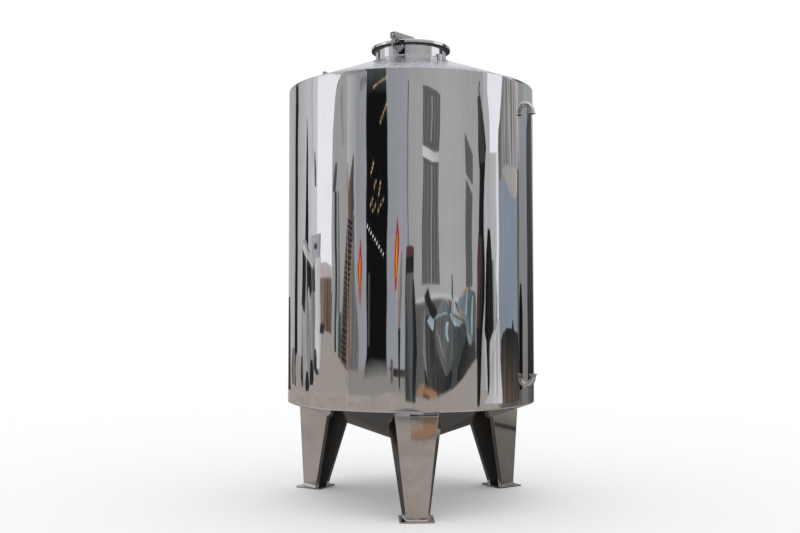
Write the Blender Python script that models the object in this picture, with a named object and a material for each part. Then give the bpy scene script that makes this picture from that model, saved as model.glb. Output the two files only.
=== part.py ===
"""A vertical storage tank of polished stainless sheet on three folded legs.

Lengths are in metres. Z is up and the feet stand on Z = 0. Azimuths are in degrees from -Y towards +X.
The two level gauge elbows are on +X and the legs at azimuths 30, 150 and 270.
"""

import math

import bmesh
import bpy
from mathutils import Vector

# The vessel
RADIUS = 1.0
SHEET = 0.004
GAP = 0.0003
SHELL_LOW = 0.780
SHELL_TOP = 3.291
ROOF_RISE = 0.375
BOTTOM_DROP = 0.370
SECTORS = 6
SECTOR_FACETS = 10
FACETS = SECTORS * SECTOR_FACETS

# The manway, its heights counted from the top of the shell
NECK_RADIUS = 0.291
NECK_HOLE = 0.2915
FLANGE_RADIUS = 0.3255
FLANGE_LOW = 0.351
FLANGE_TOP = 0.3592
GASKET_TOP = 0.3637
LID_LOW = 0.364
LID_RIM_TOP = 0.387
LID_DOME_RADIUS = 0.300
LID_DOME_RISE = 0.037

# The lid's hinge, in the upright plane through the axis at its azimuth
HINGE_AZIMUTH = 5.5
PIN_REACH = 0.368
PIN_HEIGHT = 0.4145
PIN_RADIUS = 0.006
PIN_HOLE = 0.0062
ARM_HALF_WIDTH = 0.022
ARM_SHEET = 0.004
ARM_HEEL = 0.3825
ARM_WEB_END = 0.366
EAR_HALF_THICKNESS = 0.006
STAY_RADIUS = 0.011

# What is cut from the arm's heel: distance and height of the corners
HEEL_CUT = (
    (ARM_WEB_END, 0.460),
    (ARM_WEB_END, 0.4340),
    (0.3735, 0.4315),
    (0.3795, 0.4265),
    (ARM_HEEL - 0.0002, 0.4190),
    (ARM_HEEL - 0.0002, 0.3960),
    (0.3795, 0.3890),
    (0.3730, 0.3845),
    (0.3650, 0.3820),
    (0.3650, 0.3600),
    (0.4100, 0.3600),
    (0.4100, 0.4600),
)

# The legs
LEG_AZIMUTHS = (30.0, 150.0, 270.0)
LEG_SHEET = 0.005
WEB_HALF_LOW = 0.0770
WEB_HALF_TOP = 0.1610
CREASE_SHARE = 0.30
WEB_TURN = math.tan(math.radians(5.7))
FLANGE_DEPTH_LOW = 0.1400
FLANGE_DEPTH_TOP = 0.3430
FLANGE_SPLAY = math.tan(math.radians(9.4))
LIP = 0.043
FOOT_THICKNESS = 0.010
FOOT_INNER = 0.800
FOOT_OUTER = 1.050
FOOT_HALF = 0.126
FOOT_CLIP = 0.012

# The level gauge elbows. Their insets and faces are counted from the shell's top and low end
TUBE_RADIUS = 0.0225
TUBE_BORE = 0.0205
ELBOW_BEND = 0.059
TOP_INSET = 0.171
TOP_FACE = 0.2525
LOW_INSET = 0.161
LOW_FACE = 0.2445
FERRULE_RADIUS = 0.032
FERRULE_RIM = 0.006
FERRULE_THICKNESS = 0.0125

# The outlet at the tip of the bottom cone
OUTLET_RADIUS = 0.0255
OUTLET_BORE = 0.0235
OUTLET_HOLE = 0.0262
OUTLET_TOP = 0.432
OUTLET_LOW = 0.330

# The roof sockets: azimuth, distance from the axis, radius, bore and height above the roof
TALL_SOCKET = (47.0, 0.640, 0.0280, 0.0240, 0.050)
LOW_SOCKET = (330.0, 0.800, 0.0210, 0.0165, 0.020)

POLISHED = (0.66, 0.66, 0.65)
BRUSHED = (0.55, 0.55, 0.54)
RUBBER = (0.05, 0.05, 0.05)


def clear_scene():
    for old in list(bpy.data.objects):
        bpy.data.objects.remove(old, do_unlink=True)


def outward(azimuth):
    angle = math.radians(azimuth)
    return Vector((math.sin(angle), -math.cos(angle), 0.0))


def sideways(azimuth):
    """Level, square to the outward direction, towards a larger azimuth."""
    angle = math.radians(azimuth)
    return Vector((math.cos(angle), math.sin(angle), 0.0))


def in_plane(azimuth, reach, side, height):
    """A point given in the upright plane through the axis at this azimuth, and its distance beside it."""
    return outward(azimuth) * reach + sideways(azimuth) * side + Vector((0.0, 0.0, height))


def add_object(name, points, faces, colour, roughness, metallic=1.0):
    """One mesh object with faces turned outwards and a material of its own."""
    mesh = bpy.data.meshes.new(name)
    mesh.from_pydata([tuple(point) for point in points], [], faces)
    shape = bmesh.new()
    shape.from_mesh(mesh)
    bmesh.ops.recalc_face_normals(shape, faces=shape.faces[:])
    shape.to_mesh(mesh)
    shape.free()
    material = bpy.data.materials.new(name)
    material.use_nodes = True
    surface = material.node_tree.nodes["Principled BSDF"]
    surface.inputs["Base Color"].default_value = (*colour, 1.0)
    surface.inputs["Roughness"].default_value = roughness
    surface.inputs["Metallic"].default_value = metallic
    mesh.materials.append(material)
    added = bpy.data.objects.new(name, mesh)
    bpy.context.scene.collection.objects.link(added)
    return added


def joined_rows(rows, looped):
    """Points and faces of a surface through rows of points. A row of one point is a tip."""
    points = []
    starts = []
    for row in rows:
        starts.append(len(points))
        points.extend(row)
    faces = []
    pairs = [(i, i + 1) for i in range(len(rows) - 1)]
    if looped:
        pairs.append((len(rows) - 1, 0))
    for first, second in pairs:
        count = max(len(rows[first]), len(rows[second]))
        if count == 1:
            continue
        for k in range(count):
            following = (k + 1) % count
            corners = []
            for row, step in ((first, k), (first, following), (second, following), (second, k)):
                corner = starts[row] + (step if len(rows[row]) > 1 else 0)
                if corner not in corners:
                    corners.append(corner)
            faces.append(corners)
    return points, faces


def sector(name, profile, number, colour, roughness):
    """A sixth of a turned plate. The profile is a closed outline of distance and height."""
    start = 360.0 / SECTORS * number
    rows = []
    for step in range(SECTOR_FACETS + 1):
        azimuth = start + 360.0 / FACETS * step
        inset = 0.0
        if step == 0:
            inset = GAP / 2
        if step == SECTOR_FACETS:
            inset = -GAP / 2
        rows.append([in_plane(azimuth, reach, inset, height) for reach, height in profile])
    points, faces = joined_rows(rows, looped=False)
    last = len(points) - len(profile)
    faces.append(list(range(len(profile))))
    faces.append(list(range(last, len(points))))
    return add_object(name, points, faces, colour, roughness)


def turned(name, profile, colour, roughness, metallic=1.0, facets=FACETS, place=None):
    """A round piece. The profile is an outline of distance and height: closed, or from the axis to the axis.

    Place turns distance, angle in degrees and height into a point.
    """
    place = place or (lambda reach, angle, height: in_plane(angle, reach, 0.0, height))
    rows = []
    for reach, height in profile:
        if reach == 0.0:
            rows.append([place(0.0, 0.0, height)])
        else:
            rows.append([place(reach, 360.0 / facets * k, height) for k in range(facets)])
    points, faces = joined_rows(rows, looped=profile[0][0] > 0.0)
    return add_object(name, points, faces, colour, roughness, metallic)


def upright_at(centre):
    """Places a round piece on an upright axis through this point."""
    return lambda reach, angle, height: centre + in_plane(angle, reach, 0.0, height)


def across_hinge(reach, angle, height):
    """Places a round piece on the hinge's axis, its height counted sideways along the pin."""
    turn = math.radians(angle)
    return in_plane(
        HINGE_AZIMUTH,
        PIN_REACH + reach * math.cos(turn),
        height,
        SHELL_TOP + PIN_HEIGHT + reach * math.sin(turn),
    )


def rod(name, radius, start, end, facets):
    """A solid round bar from one point to another."""
    axis = (end - start).normalized()
    first = axis.orthogonal().normalized()
    second = axis.cross(first)
    rows = [[start]]
    for centre in (start, end):
        row = []
        for k in range(facets):
            turn = 2 * math.pi * k / facets
            row.append(centre + (first * math.cos(turn) + second * math.sin(turn)) * radius)
        rows.append(row)
    rows.append([end])
    points, faces = joined_rows(rows, looped=False)
    return add_object(name, points, faces, BRUSHED, 0.3)


def hide(tool):
    """Leaves a cutting shape out of the model."""
    tool.hide_render = True
    tool.display_type = "WIRE"


def round_cutter(name, radius, start, end):
    tool = rod(name, radius, start, end, facets=24)
    hide(tool)
    return tool


def hinge_hole(name):
    """A cutter for the pin's hole, along the hinge's axis."""
    return round_cutter(name, PIN_HOLE, across_hinge(0.0, 0.0, -0.05), across_hinge(0.0, 0.0, 0.05))


def cut(target, tool):
    modifier = target.modifiers.new(tool.name, "BOOLEAN")
    modifier.operation = "DIFFERENCE"
    modifier.solver = "EXACT"
    modifier.object = tool


def add_vessel():
    """Wall, roof and bottom, each of six sectors. Returns them by kind."""
    slope_sheet = SHEET * math.hypot(1.0, ROOF_RISE)
    wall = [
        (RADIUS, SHELL_LOW + slope_sheet + GAP),
        (RADIUS, SHELL_TOP - slope_sheet - GAP),
        (RADIUS - SHEET, SHELL_TOP - slope_sheet - GAP),
        (RADIUS - SHEET, SHELL_LOW + slope_sheet + GAP),
    ]
    roof_inner = SHELL_TOP + ROOF_RISE * (1.0 - NECK_HOLE)
    roof = [
        (RADIUS, SHELL_TOP - slope_sheet),
        (RADIUS, SHELL_TOP),
        (NECK_HOLE, roof_inner),
        (NECK_HOLE, roof_inner - slope_sheet),
    ]
    tip = SHELL_LOW - BOTTOM_DROP * (1.0 - OUTLET_HOLE)
    bottom = [
        (RADIUS, SHELL_LOW),
        (RADIUS, SHELL_LOW + slope_sheet),
        (OUTLET_HOLE, tip + slope_sheet),
        (OUTLET_HOLE, tip),
    ]
    made = {}
    for kind, profile in (("wall", wall), ("roof", roof), ("bottom", bottom)):
        made[kind] = [
            sector(f"{kind}_{number + 1}", profile, number, POLISHED, 0.08) for number in range(SECTORS)
        ]
    return made


def add_manway():
    """Neck, flange, gasket and lid, round the tank's axis."""
    neck_low = SHELL_TOP + ROOF_RISE * (1.0 - NECK_RADIUS) - 0.012
    neck = [
        (NECK_RADIUS, neck_low),
        (NECK_RADIUS, SHELL_TOP + FLANGE_TOP),
        (NECK_RADIUS - SHEET, SHELL_TOP + FLANGE_TOP),
        (NECK_RADIUS - SHEET, neck_low),
    ]
    turned("manway_neck", neck, POLISHED, 0.10)
    flange = [
        (NECK_HOLE, SHELL_TOP + FLANGE_LOW),
        (0.312, SHELL_TOP + FLANGE_LOW),
        (FLANGE_RADIUS, SHELL_TOP + FLANGE_LOW + 0.004),
        (FLANGE_RADIUS, SHELL_TOP + FLANGE_TOP),
        (NECK_HOLE, SHELL_TOP + FLANGE_TOP),
    ]
    turned("manway_flange", flange, POLISHED, 0.15)
    gasket = [
        (0.290, SHELL_TOP + FLANGE_TOP + GAP),
        (0.314, SHELL_TOP + FLANGE_TOP + GAP),
        (0.314, SHELL_TOP + GASKET_TOP),
        (0.290, SHELL_TOP + GASKET_TOP),
    ]
    turned("manway_gasket", gasket, RUBBER, 0.7, metallic=0.0)

    def dome(reach):
        return SHELL_TOP + LID_RIM_TOP + LID_DOME_RISE * (1.0 - (reach / LID_DOME_RADIUS) ** 2)

    reaches = [0.0, 0.06, 0.12, 0.18, 0.24]
    lid = [(reach, dome(reach)) for reach in reaches]
    lid.append((LID_DOME_RADIUS, SHELL_TOP + LID_RIM_TOP))
    lid.append((0.317, SHELL_TOP + LID_RIM_TOP))
    lid.append((FLANGE_RADIUS, SHELL_TOP + LID_RIM_TOP - 0.0075))
    lid.append((FLANGE_RADIUS, SHELL_TOP + LID_LOW))
    lid.append((0.292, SHELL_TOP + LID_LOW))
    lid.append((0.287, dome(0.287) - SHEET))
    lid.extend((reach, dome(reach) - SHEET) for reach in reversed(reaches))
    turned("manway_lid", lid, POLISHED, 0.12)


def hinge_plate(name, outline, half_thickness):
    """A flat plate in the hinge's plane, from an outline of distance and height above the shell."""
    points = []
    for side in (-half_thickness, half_thickness):
        points.extend(in_plane(HINGE_AZIMUTH, reach, side, SHELL_TOP + height) for reach, height in outline)
    count = len(outline)
    faces = [list(range(count)), list(range(count, 2 * count))]
    for k in range(count):
        following = (k + 1) % count
        faces.append([k, following, count + following, count + k])
    return add_object(name, points, faces, BRUSHED, 0.3)


def add_lid_arm():
    """A tapering channel, open below, from the hinge pin to just past the lid's centre.

    Its web stops short of the pin, and its two cheeks are rounded there.
    """
    stations = (
        (ARM_HEEL, 0.384, 0.4375),
        (0.350, 0.387, 0.441),
        (-0.022, 0.452, 0.488),
    )
    wide = ARM_HALF_WIDTH
    inner = ARM_HALF_WIDTH - ARM_SHEET
    points = []
    for reach, low, top in stations:
        outline = (
            (-wide, low),
            (-wide, top),
            (wide, top),
            (wide, low),
            (inner, low),
            (inner, top - ARM_SHEET),
            (-inner, top - ARM_SHEET),
            (-inner, low),
        )
        points.extend(in_plane(HINGE_AZIMUTH, reach, side, SHELL_TOP + height) for side, height in outline)
    count = 8
    faces = []
    for station in range(len(stations) - 1):
        for k in range(count):
            near = station * count
            following = (k + 1) % count
            faces.append([near + k, near + following, near + count + following, near + count + k])
    faces.append(list(range(count)))
    faces.append(list(range(len(points) - count, len(points))))
    arm = add_object("lid_arm", points, faces, BRUSHED, 0.25)
    cut(arm, hinge_hole("arm_hole"))
    heel = hinge_plate("arm_heel", HEEL_CUT, 0.05)
    hide(heel)
    cut(arm, heel)
    boss = [
        (0.0, SHELL_TOP + LID_RIM_TOP + LID_DOME_RISE + GAP),
        (0.015, SHELL_TOP + LID_RIM_TOP + LID_DOME_RISE + GAP),
        (0.015, SHELL_TOP + 0.4785),
        (0.0, SHELL_TOP + 0.4785),
    ]
    turned("lid_boss", boss, BRUSHED, 0.3, facets=20)


def add_hinge():
    """The ear on the neck, the pin through it and the stay beside it."""
    outline = (
        (0.2914, 0.286),
        (0.310, 0.290),
        (0.330, 0.302),
        (0.372, 0.307),
        (0.388, 0.311),
        (0.395, 0.322),
        (0.395, 0.397),
        (0.382, 0.409),
        (0.3825, 0.4145),
        (0.379, 0.424),
        (0.368, 0.429),
        (0.357, 0.424),
        (0.3535, 0.4145),
        (0.346, 0.378),
        (0.334, 0.352),
        (0.334, 0.346),
        (0.2914, 0.346),
    )
    ear = hinge_plate("hinge_ear", outline, EAR_HALF_THICKNESS)
    cut(ear, hinge_hole("ear_hole"))

    pin = [
        (0.0, -0.028),
        (0.010, -0.028),
        (0.010, -0.0225),
        (PIN_RADIUS, -0.0225),
        (PIN_RADIUS, 0.0225),
        (0.010, 0.0225),
        (0.010, 0.028),
        (0.0, 0.028),
    ]
    turned("hinge_pin", pin, POLISHED, 0.2, facets=24, place=across_hinge)

    start = in_plane(HINGE_AZIMUTH, 0.307, 0.0138, SHELL_TOP + 0.2985)
    end = in_plane(HINGE_AZIMUTH, 0.3055, 0.0560, SHELL_TOP + 0.3430)
    rod("hinge_stay", STAY_RADIUS, start, end, facets=16)


def folded(path, thickness):
    """The outline of a folded sheet: this path and its parallel, to the right of the path's direction."""
    normals = []
    for first, second in zip(path, path[1:]):
        run = Vector(second) - Vector(first)
        run.normalize()
        normals.append(Vector((run.y, -run.x)))
    inner = [Vector(path[0]) + normals[0] * thickness]
    for point, before, after in zip(path[1:-1], normals, normals[1:]):
        inner.append(Vector(point) + (before + after) * (thickness / (1.0 + before.dot(after))))
    inner.append(Vector(path[-1]) + normals[-1] * thickness)
    return [Vector(point) for point in path] + inner[::-1]


def leg_outline(height):
    """Side and reach of the folded leg's corners at this height.

    Its web faces outwards, in three facets that follow the shell's curve.
    """
    share = height / SHELL_LOW
    web = WEB_HALF_LOW + (WEB_HALF_TOP - WEB_HALF_LOW) * share
    crease = web * CREASE_SHARE
    corner = RADIUS - (web - crease) * WEB_TURN
    depth = FLANGE_DEPTH_LOW + (FLANGE_DEPTH_TOP - FLANGE_DEPTH_LOW) * share
    end = web + depth * FLANGE_SPLAY
    path = (
        (-end + LIP, corner - depth),
        (-end, corner - depth),
        (-web, corner),
        (-crease, RADIUS),
        (crease, RADIUS),
        (web, corner),
        (end, corner - depth),
        (end - LIP, corner - depth),
    )
    return folded(path, LEG_SHEET)


def add_leg(number, azimuth, cone):
    """One leg under the bottom cone, and its foot plate."""
    points = []
    for height in (FOOT_THICKNESS + GAP, SHELL_LOW + 0.02):
        points.extend(in_plane(azimuth, corner.y, corner.x, height) for corner in leg_outline(height))
    count = len(points) // 2
    faces = [list(range(count)), list(range(count, 2 * count))]
    for k in range(count):
        following = (k + 1) % count
        faces.append([k, following, count + following, count + k])
    leg = add_object(f"leg_{number}", points, faces, BRUSHED, 0.2)
    cut(leg, cone)

    clip = FOOT_CLIP
    plan = (
        (-FOOT_HALF + clip, FOOT_INNER),
        (FOOT_HALF - clip, FOOT_INNER),
        (FOOT_HALF, FOOT_INNER + clip),
        (FOOT_HALF, FOOT_OUTER - clip),
        (FOOT_HALF - clip, FOOT_OUTER),
        (-FOOT_HALF + clip, FOOT_OUTER),
        (-FOOT_HALF, FOOT_OUTER - clip),
        (-FOOT_HALF, FOOT_INNER + clip),
    )
    points = []
    for height in (0.0, FOOT_THICKNESS):
        points.extend(in_plane(azimuth, reach, side, height) for side, reach in plan)
    count = len(plan)
    faces = [list(range(count)), list(range(count, 2 * count))]
    for k in range(count):
        following = (k + 1) % count
        faces.append([k, following, count + following, count + k])
    add_object(f"foot_{number}", points, faces, BRUSHED, 0.25)


def add_legs():
    """Three legs, cut to the bottom cone."""
    gap = 0.0005
    above_cone = [
        (0.0, SHELL_LOW - BOTTOM_DROP - gap),
        (RADIUS, SHELL_LOW - gap),
        (1.3, SHELL_LOW - gap),
        (1.3, 1.2),
        (0.0, 1.2),
    ]
    cone = turned("above_cone", above_cone, BRUSHED, 0.5)
    hide(cone)
    for number, azimuth in enumerate(LEG_AZIMUTHS):
        add_leg(number + 1, azimuth, cone)


def add_elbow(kind, height, face, turn, wall):
    """A tube that leaves the wall along +X and turns down (turn -1) or up (turn 1) to a ferrule."""
    bend_steps = 10
    end = face - turn * (FERRULE_THICKNESS + GAP)
    stations = [(Vector((RADIUS - SHEET - 0.002, 0.0, height)), 0.0)]
    for step in range(bend_steps + 1):
        angle = math.pi / 2 * step / bend_steps
        centre = Vector((
            RADIUS + ELBOW_BEND * math.sin(angle),
            0.0,
            height + turn * ELBOW_BEND * (1.0 - math.cos(angle)),
        ))
        stations.append((centre, angle))
    stations.append((Vector((RADIUS + ELBOW_BEND, 0.0, end)), math.pi / 2))
    facets = 20

    def ring_at(centre, angle, radius):
        across = Vector((-math.sin(angle), 0.0, turn * math.cos(angle)))
        row = []
        for k in range(facets):
            around = 2 * math.pi * k / facets
            beside = Vector((0.0, math.sin(around), 0.0))
            row.append(centre + (across * math.cos(around) + beside) * radius)
        return row

    rows = [ring_at(centre, angle, TUBE_RADIUS) for centre, angle in stations]
    rows += [ring_at(centre, angle, TUBE_BORE) for centre, angle in reversed(stations)]
    points, faces = joined_rows(rows, looped=True)
    add_object(f"gauge_elbow_{kind}", points, faces, POLISHED, 0.15)

    ferrule = [
        (TUBE_BORE, 0.0),
        (FERRULE_RADIUS, 0.0),
        (FERRULE_RADIUS, -turn * FERRULE_RIM),
        (TUBE_RADIUS + 0.0018, -turn * FERRULE_THICKNESS),
        (TUBE_BORE, -turn * FERRULE_THICKNESS),
    ]
    place = upright_at(Vector((RADIUS + ELBOW_BEND, 0.0, face)))
    turned(f"gauge_ferrule_{kind}", ferrule, POLISHED, 0.15, facets=32, place=place)
    hole = round_cutter(
        f"gauge_hole_{kind}",
        TUBE_RADIUS + 0.0004,
        Vector((RADIUS - 0.05, 0.0, height)),
        Vector((RADIUS + 0.05, 0.0, height)),
    )
    cut(wall, hole)


def add_outlet():
    """A short pipe and a ferrule at the tip of the bottom cone."""
    pipe = [
        (OUTLET_RADIUS, OUTLET_TOP),
        (OUTLET_RADIUS, OUTLET_LOW),
        (OUTLET_BORE, OUTLET_LOW),
        (OUTLET_BORE, OUTLET_TOP),
    ]
    turned("outlet_pipe", pipe, POLISHED, 0.2, facets=30)
    top = OUTLET_LOW - GAP
    ferrule = [
        (OUTLET_BORE, top),
        (0.0275, top),
        (FERRULE_RADIUS, top - FERRULE_THICKNESS + FERRULE_RIM),
        (FERRULE_RADIUS, top - FERRULE_THICKNESS),
        (OUTLET_BORE, top - FERRULE_THICKNESS),
    ]
    turned("outlet_ferrule", ferrule, POLISHED, 0.2, facets=32)


def add_socket(name, size, roof):
    """A short upright tube through the roof."""
    azimuth, reach, radius, bore, height = size
    surface = SHELL_TOP + ROOF_RISE * (1.0 - reach)
    foot = in_plane(azimuth, reach, 0.0, surface)
    tube = [
        (radius, -0.016),
        (radius, height),
        (bore, height),
        (bore, -0.016),
    ]
    turned(name, tube, POLISHED, 0.15, facets=24, place=upright_at(foot))
    up = Vector((0.0, 0.0, 0.1))
    cut(roof, round_cutter(f"{name}_hole", radius + 0.0006, foot - up, foot + up))


clear_scene()
vessel = add_vessel()
add_manway()
add_lid_arm()
add_hinge()
add_legs()
add_elbow("top", SHELL_TOP - TOP_INSET, SHELL_TOP - TOP_FACE, -1, vessel["wall"][1])
add_elbow("low", SHELL_LOW + LOW_INSET, SHELL_LOW + LOW_FACE, 1, vessel["wall"][1])
add_outlet()
add_socket("roof_socket_tall", TALL_SOCKET, vessel["roof"][0])
add_socket("roof_socket_low", LOW_SOCKET, vessel["roof"][5])
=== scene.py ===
"""A polished storage tank on three folded legs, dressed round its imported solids.

Lengths are in metres. Z is up and the feet stand on Z = 0. Azimuths are in degrees from -Y towards +X.
"""

import math

import bmesh
import bpy
from mathutils import Matrix, Vector, noise


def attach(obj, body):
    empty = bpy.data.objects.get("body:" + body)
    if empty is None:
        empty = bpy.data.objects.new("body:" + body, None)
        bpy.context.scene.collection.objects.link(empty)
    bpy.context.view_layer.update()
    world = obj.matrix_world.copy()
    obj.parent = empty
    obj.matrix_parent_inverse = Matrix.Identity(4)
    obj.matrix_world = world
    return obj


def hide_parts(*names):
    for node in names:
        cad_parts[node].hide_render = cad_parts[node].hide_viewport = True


# The vessel. The insets are rows of points near the shell's two edges
RADIUS = 1.0
SHEET = 0.004
SHELL_INSIDE = RADIUS - SHEET - 0.002
SHELL_INSETS = (0.0035, 0.008, 0.014)
SHELL_LOW = 0.78
SHELL_TOP = 3.291
ROOF_RISE = 0.375
BOTTOM_DROP = 0.37
GAP = 0.0003

# The manway, its heights counted from the top of the shell
NECK_RADIUS = 0.291
NECK_HOLE = 0.2915
FLANGE_RADIUS = 0.3255
FLANGE_BEND = 0.312
FLANGE_LOW = 0.351
FLANGE_TOP = 0.3592
FLANGE_TAPER = 0.004
GASKET_BORE = 0.29
GASKET_TOP = 0.3637
LID_LOW = 0.364
LID_RIM_TOP = 0.387
LID_DOME_RADIUS = 0.3
LID_DOME_RISE = 0.037
SEAL_START = 0.2935
SEAL_SKIN = 0.0015
LIP_DROP = 0.0044
LIP_SHEET = 0.003

# The lid's hinge
HINGE_AZIMUTH = 5.5
PIN_REACH = 0.368
PIN_HEIGHT = 0.4145
PIN_RADIUS = 0.006
PIN_HEAD_RADIUS = 0.01
PIN_HEAD_START = 0.0225
ARM_HALF_WIDTH = 0.022
ARM_SHEET = 0.004
ARM_HEEL = 0.3825
ARM_WEB_END = 0.366
EAR_HALF_THICKNESS = 0.006
STAY_RADIUS = 0.01
BOSS_RADIUS = 0.015
BOSS_TOP = 0.4785

# The legs
LEG_AZIMUTHS = (30.0, 150.0, 270.0)
LEG_SHEET = 0.005
WEB_HALF_LOW = 0.077
WEB_HALF_TOP = 0.161
CREASE_SHARE = 0.3
WEB_TURN = math.tan(math.radians(5.7))
FLANGE_DEPTH_LOW = 0.14
FLANGE_DEPTH_TOP = 0.343
FLANGE_SPLAY = math.tan(math.radians(9.4))
LIP = 0.043
FOOT_THICKNESS = 0.01
FOOT_INNER = 0.8
FOOT_OUTER = 1.05
FOOT_HALF = 0.126
FOOT_CLIP = 0.012

# The level gauge elbows. Their insets and faces are counted from the shell's top and low end
TUBE_RADIUS = 0.0225
TUBE_BORE = 0.0205
ELBOW_BEND = 0.059
TOP_INSET = 0.171
TOP_FACE = 0.2525
LOW_INSET = 0.161
LOW_FACE = 0.2445
FERRULE_RADIUS = 0.032
FERRULE_RIM = 0.006
FERRULE_THICKNESS = 0.0125

# The outlet at the tip of the bottom cone
OUTLET_RADIUS = 0.0255
OUTLET_BORE = 0.0235
OUTLET_HOLE = 0.0262
OUTLET_TOP = 0.432
OUTLET_LOW = 0.33

# The roof sockets: azimuth, distance from the axis, radius, bore and height above the roof
TALL_SOCKET = (47.0, 0.64, 0.028, 0.024, 0.05)
LOW_SOCKET = (330.0, 0.8, 0.021, 0.0165, 0.02)
SOCKET_ROOT = 0.016

# The camera
CAMERA_AZIMUTH = 27.56
CAMERA_REACH = 8.255
CAMERA_HEIGHT = 1.552
CAMERA_PITCH = 2.21
CAMERA_TURN = 0.621
CAMERA_LENS = 45.19

# The studio's wall, its ceiling and the cards on it, which only the polished sheet shows
WALL_REACH = 12.0
WALL_TOP = 9.5
WALL_FOOT = 1.8
WALL_LIGHT = 6.8
WALL_LAYER = 0.04
CARD_STEP_ANGLE = 0.25
CARD_STEP_HEIGHT = 0.08

# The number of points round a circle
SHELL_STEPS = 480
CONE_STEPS = 360
MANWAY_STEPS = 192
GASKET_STEPS = 144
TUBE_STEPS = 64
ROD_STEPS = 48


def outward(azimuth):
    angle = math.radians(azimuth)
    return Vector((math.sin(angle), -math.cos(angle), 0.0))


def in_plane(azimuth, reach, height, side=0.0):
    """A point in the upright plane through the axis at this azimuth, or at a distance beside it."""
    angle = math.radians(azimuth)
    beside = Vector((math.cos(angle), math.sin(angle), 0.0))
    return outward(azimuth) * reach + beside * side + Vector((0.0, 0.0, height))


def at_hinge(reach, height, side):
    """A point in the upright plane of the lid's hinge, its height counted from the top of the shell."""
    return in_plane(HINGE_AZIMUTH, reach, SHELL_TOP + height, side)


def around(steps, point_at):
    """Points at even azimuths round the axis."""
    return [point_at(360.0 / steps * k) for k in range(steps)]


def level_ring(reach, height, steps):
    """A level circle round the tank's axis."""
    return around(steps, lambda azimuth: in_plane(azimuth, reach, height))


def ring(centre, across, beside, radius, steps):
    """Points on a circle that lies in the plane of two directions."""
    turns = [2 * math.pi * k / steps for k in range(steps)]
    return [centre + (across * math.cos(turn) + beside * math.sin(turn)) * radius for turn in turns]


# Meshes


def add_object(name, points, faces, material):
    """A mesh object in the scene."""
    mesh = bpy.data.meshes.new(name)
    mesh.from_pydata([tuple(point) for point in points], [], faces)
    mesh.materials.append(material)
    added = bpy.data.objects.new(name, mesh)
    bpy.context.scene.collection.objects.link(added)
    return added


def add_mesh(name, points, faces, material):
    """A smooth mesh object with its faces turned outwards."""
    added = add_object(name, points, faces, material)
    shape = bmesh.new()
    shape.from_mesh(added.data)
    bmesh.ops.recalc_face_normals(shape, faces=shape.faces[:])
    shape.to_mesh(added.data)
    shape.free()
    added.data.shade_smooth()
    return added


def joined_rows(rows, looped=False, wrapped=True):
    """Points and faces of a surface through rows of points. A row of one point is a tip.

    Looped joins the last row to the first, and wrapped joins each row's last point to its first.
    """
    points = []
    starts = []
    for row in rows:
        starts.append(len(points))
        points.extend(row)
    faces = []
    pairs = [(i, i + 1) for i in range(len(rows) - 1)]
    if looped:
        pairs.append((len(rows) - 1, 0))
    for first, second in pairs:
        count = max(len(rows[first]), len(rows[second]))
        for k in range(count if wrapped else count - 1):
            following = (k + 1) % count
            corners = []
            for row, step in ((first, k), (first, following), (second, following), (second, k)):
                corner = starts[row] + (step if len(rows[row]) > 1 else 0)
                if corner not in corners:
                    corners.append(corner)
            if len(corners) > 2:
                faces.append(corners)
    return points, faces


def rounded(corners, steps=4, closed=True):
    """The outline through these corners, each given as two coordinates and the radius of its round."""
    outline = []
    count = len(corners)
    for index, (x, y, radius) in enumerate(corners):
        here = Vector((x, y))
        if radius == 0.0 or (not closed and index in (0, count - 1)):
            outline.append(here)
            continue
        before = Vector(corners[index - 1][:2]) - here
        after = Vector(corners[(index + 1) % count][:2]) - here
        half = before.angle(after) / 2
        cut = min(radius / math.tan(half), before.length * 0.49, after.length * 0.49)
        start = here + before.normalized() * cut
        end = here + after.normalized() * cut
        pull = 4.0 / 3.0 * math.tan((math.pi - 2 * half) / 4) * math.tan(half)
        first = start.lerp(here, pull)
        second = end.lerp(here, pull)
        for step in range(steps + 1):
            t = step / steps
            s = 1 - t
            outline.append(start * s ** 3 + first * 3 * t * s ** 2 + second * 3 * t * t * s + end * t ** 3)
    return outline


def flat_normals(piece):
    """Keeps large flat faces flat beside their rounded edges."""
    modifier = piece.modifiers.new("flat", "WEIGHTED_NORMAL")
    modifier.weight = 80
    modifier.keep_sharp = True
    return piece


def turned(name, outline, material, steps, place=in_plane, looped=True):
    """A round piece from an outline of distance and height."""
    rows = []
    for reach, height in outline:
        if reach < 1e-6:
            rows.append([place(0.0, 0.0, height)])
        else:
            rows.append(around(steps, lambda angle: place(angle, reach, height)))
    return flat_normals(add_mesh(name, *joined_rows(rows, looped), material))


def upright_at(centre):
    """Places a round piece on an upright axis through this point."""
    return lambda angle, reach, height: centre + in_plane(angle, reach, height)


def across_hinge(angle, reach, side):
    """Places a round piece on the hinge's axis, its outline's height counted sideways along the pin."""
    turn = math.radians(angle)
    return at_hinge(PIN_REACH + reach * math.cos(turn), PIN_HEIGHT + reach * math.sin(turn), side)


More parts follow.
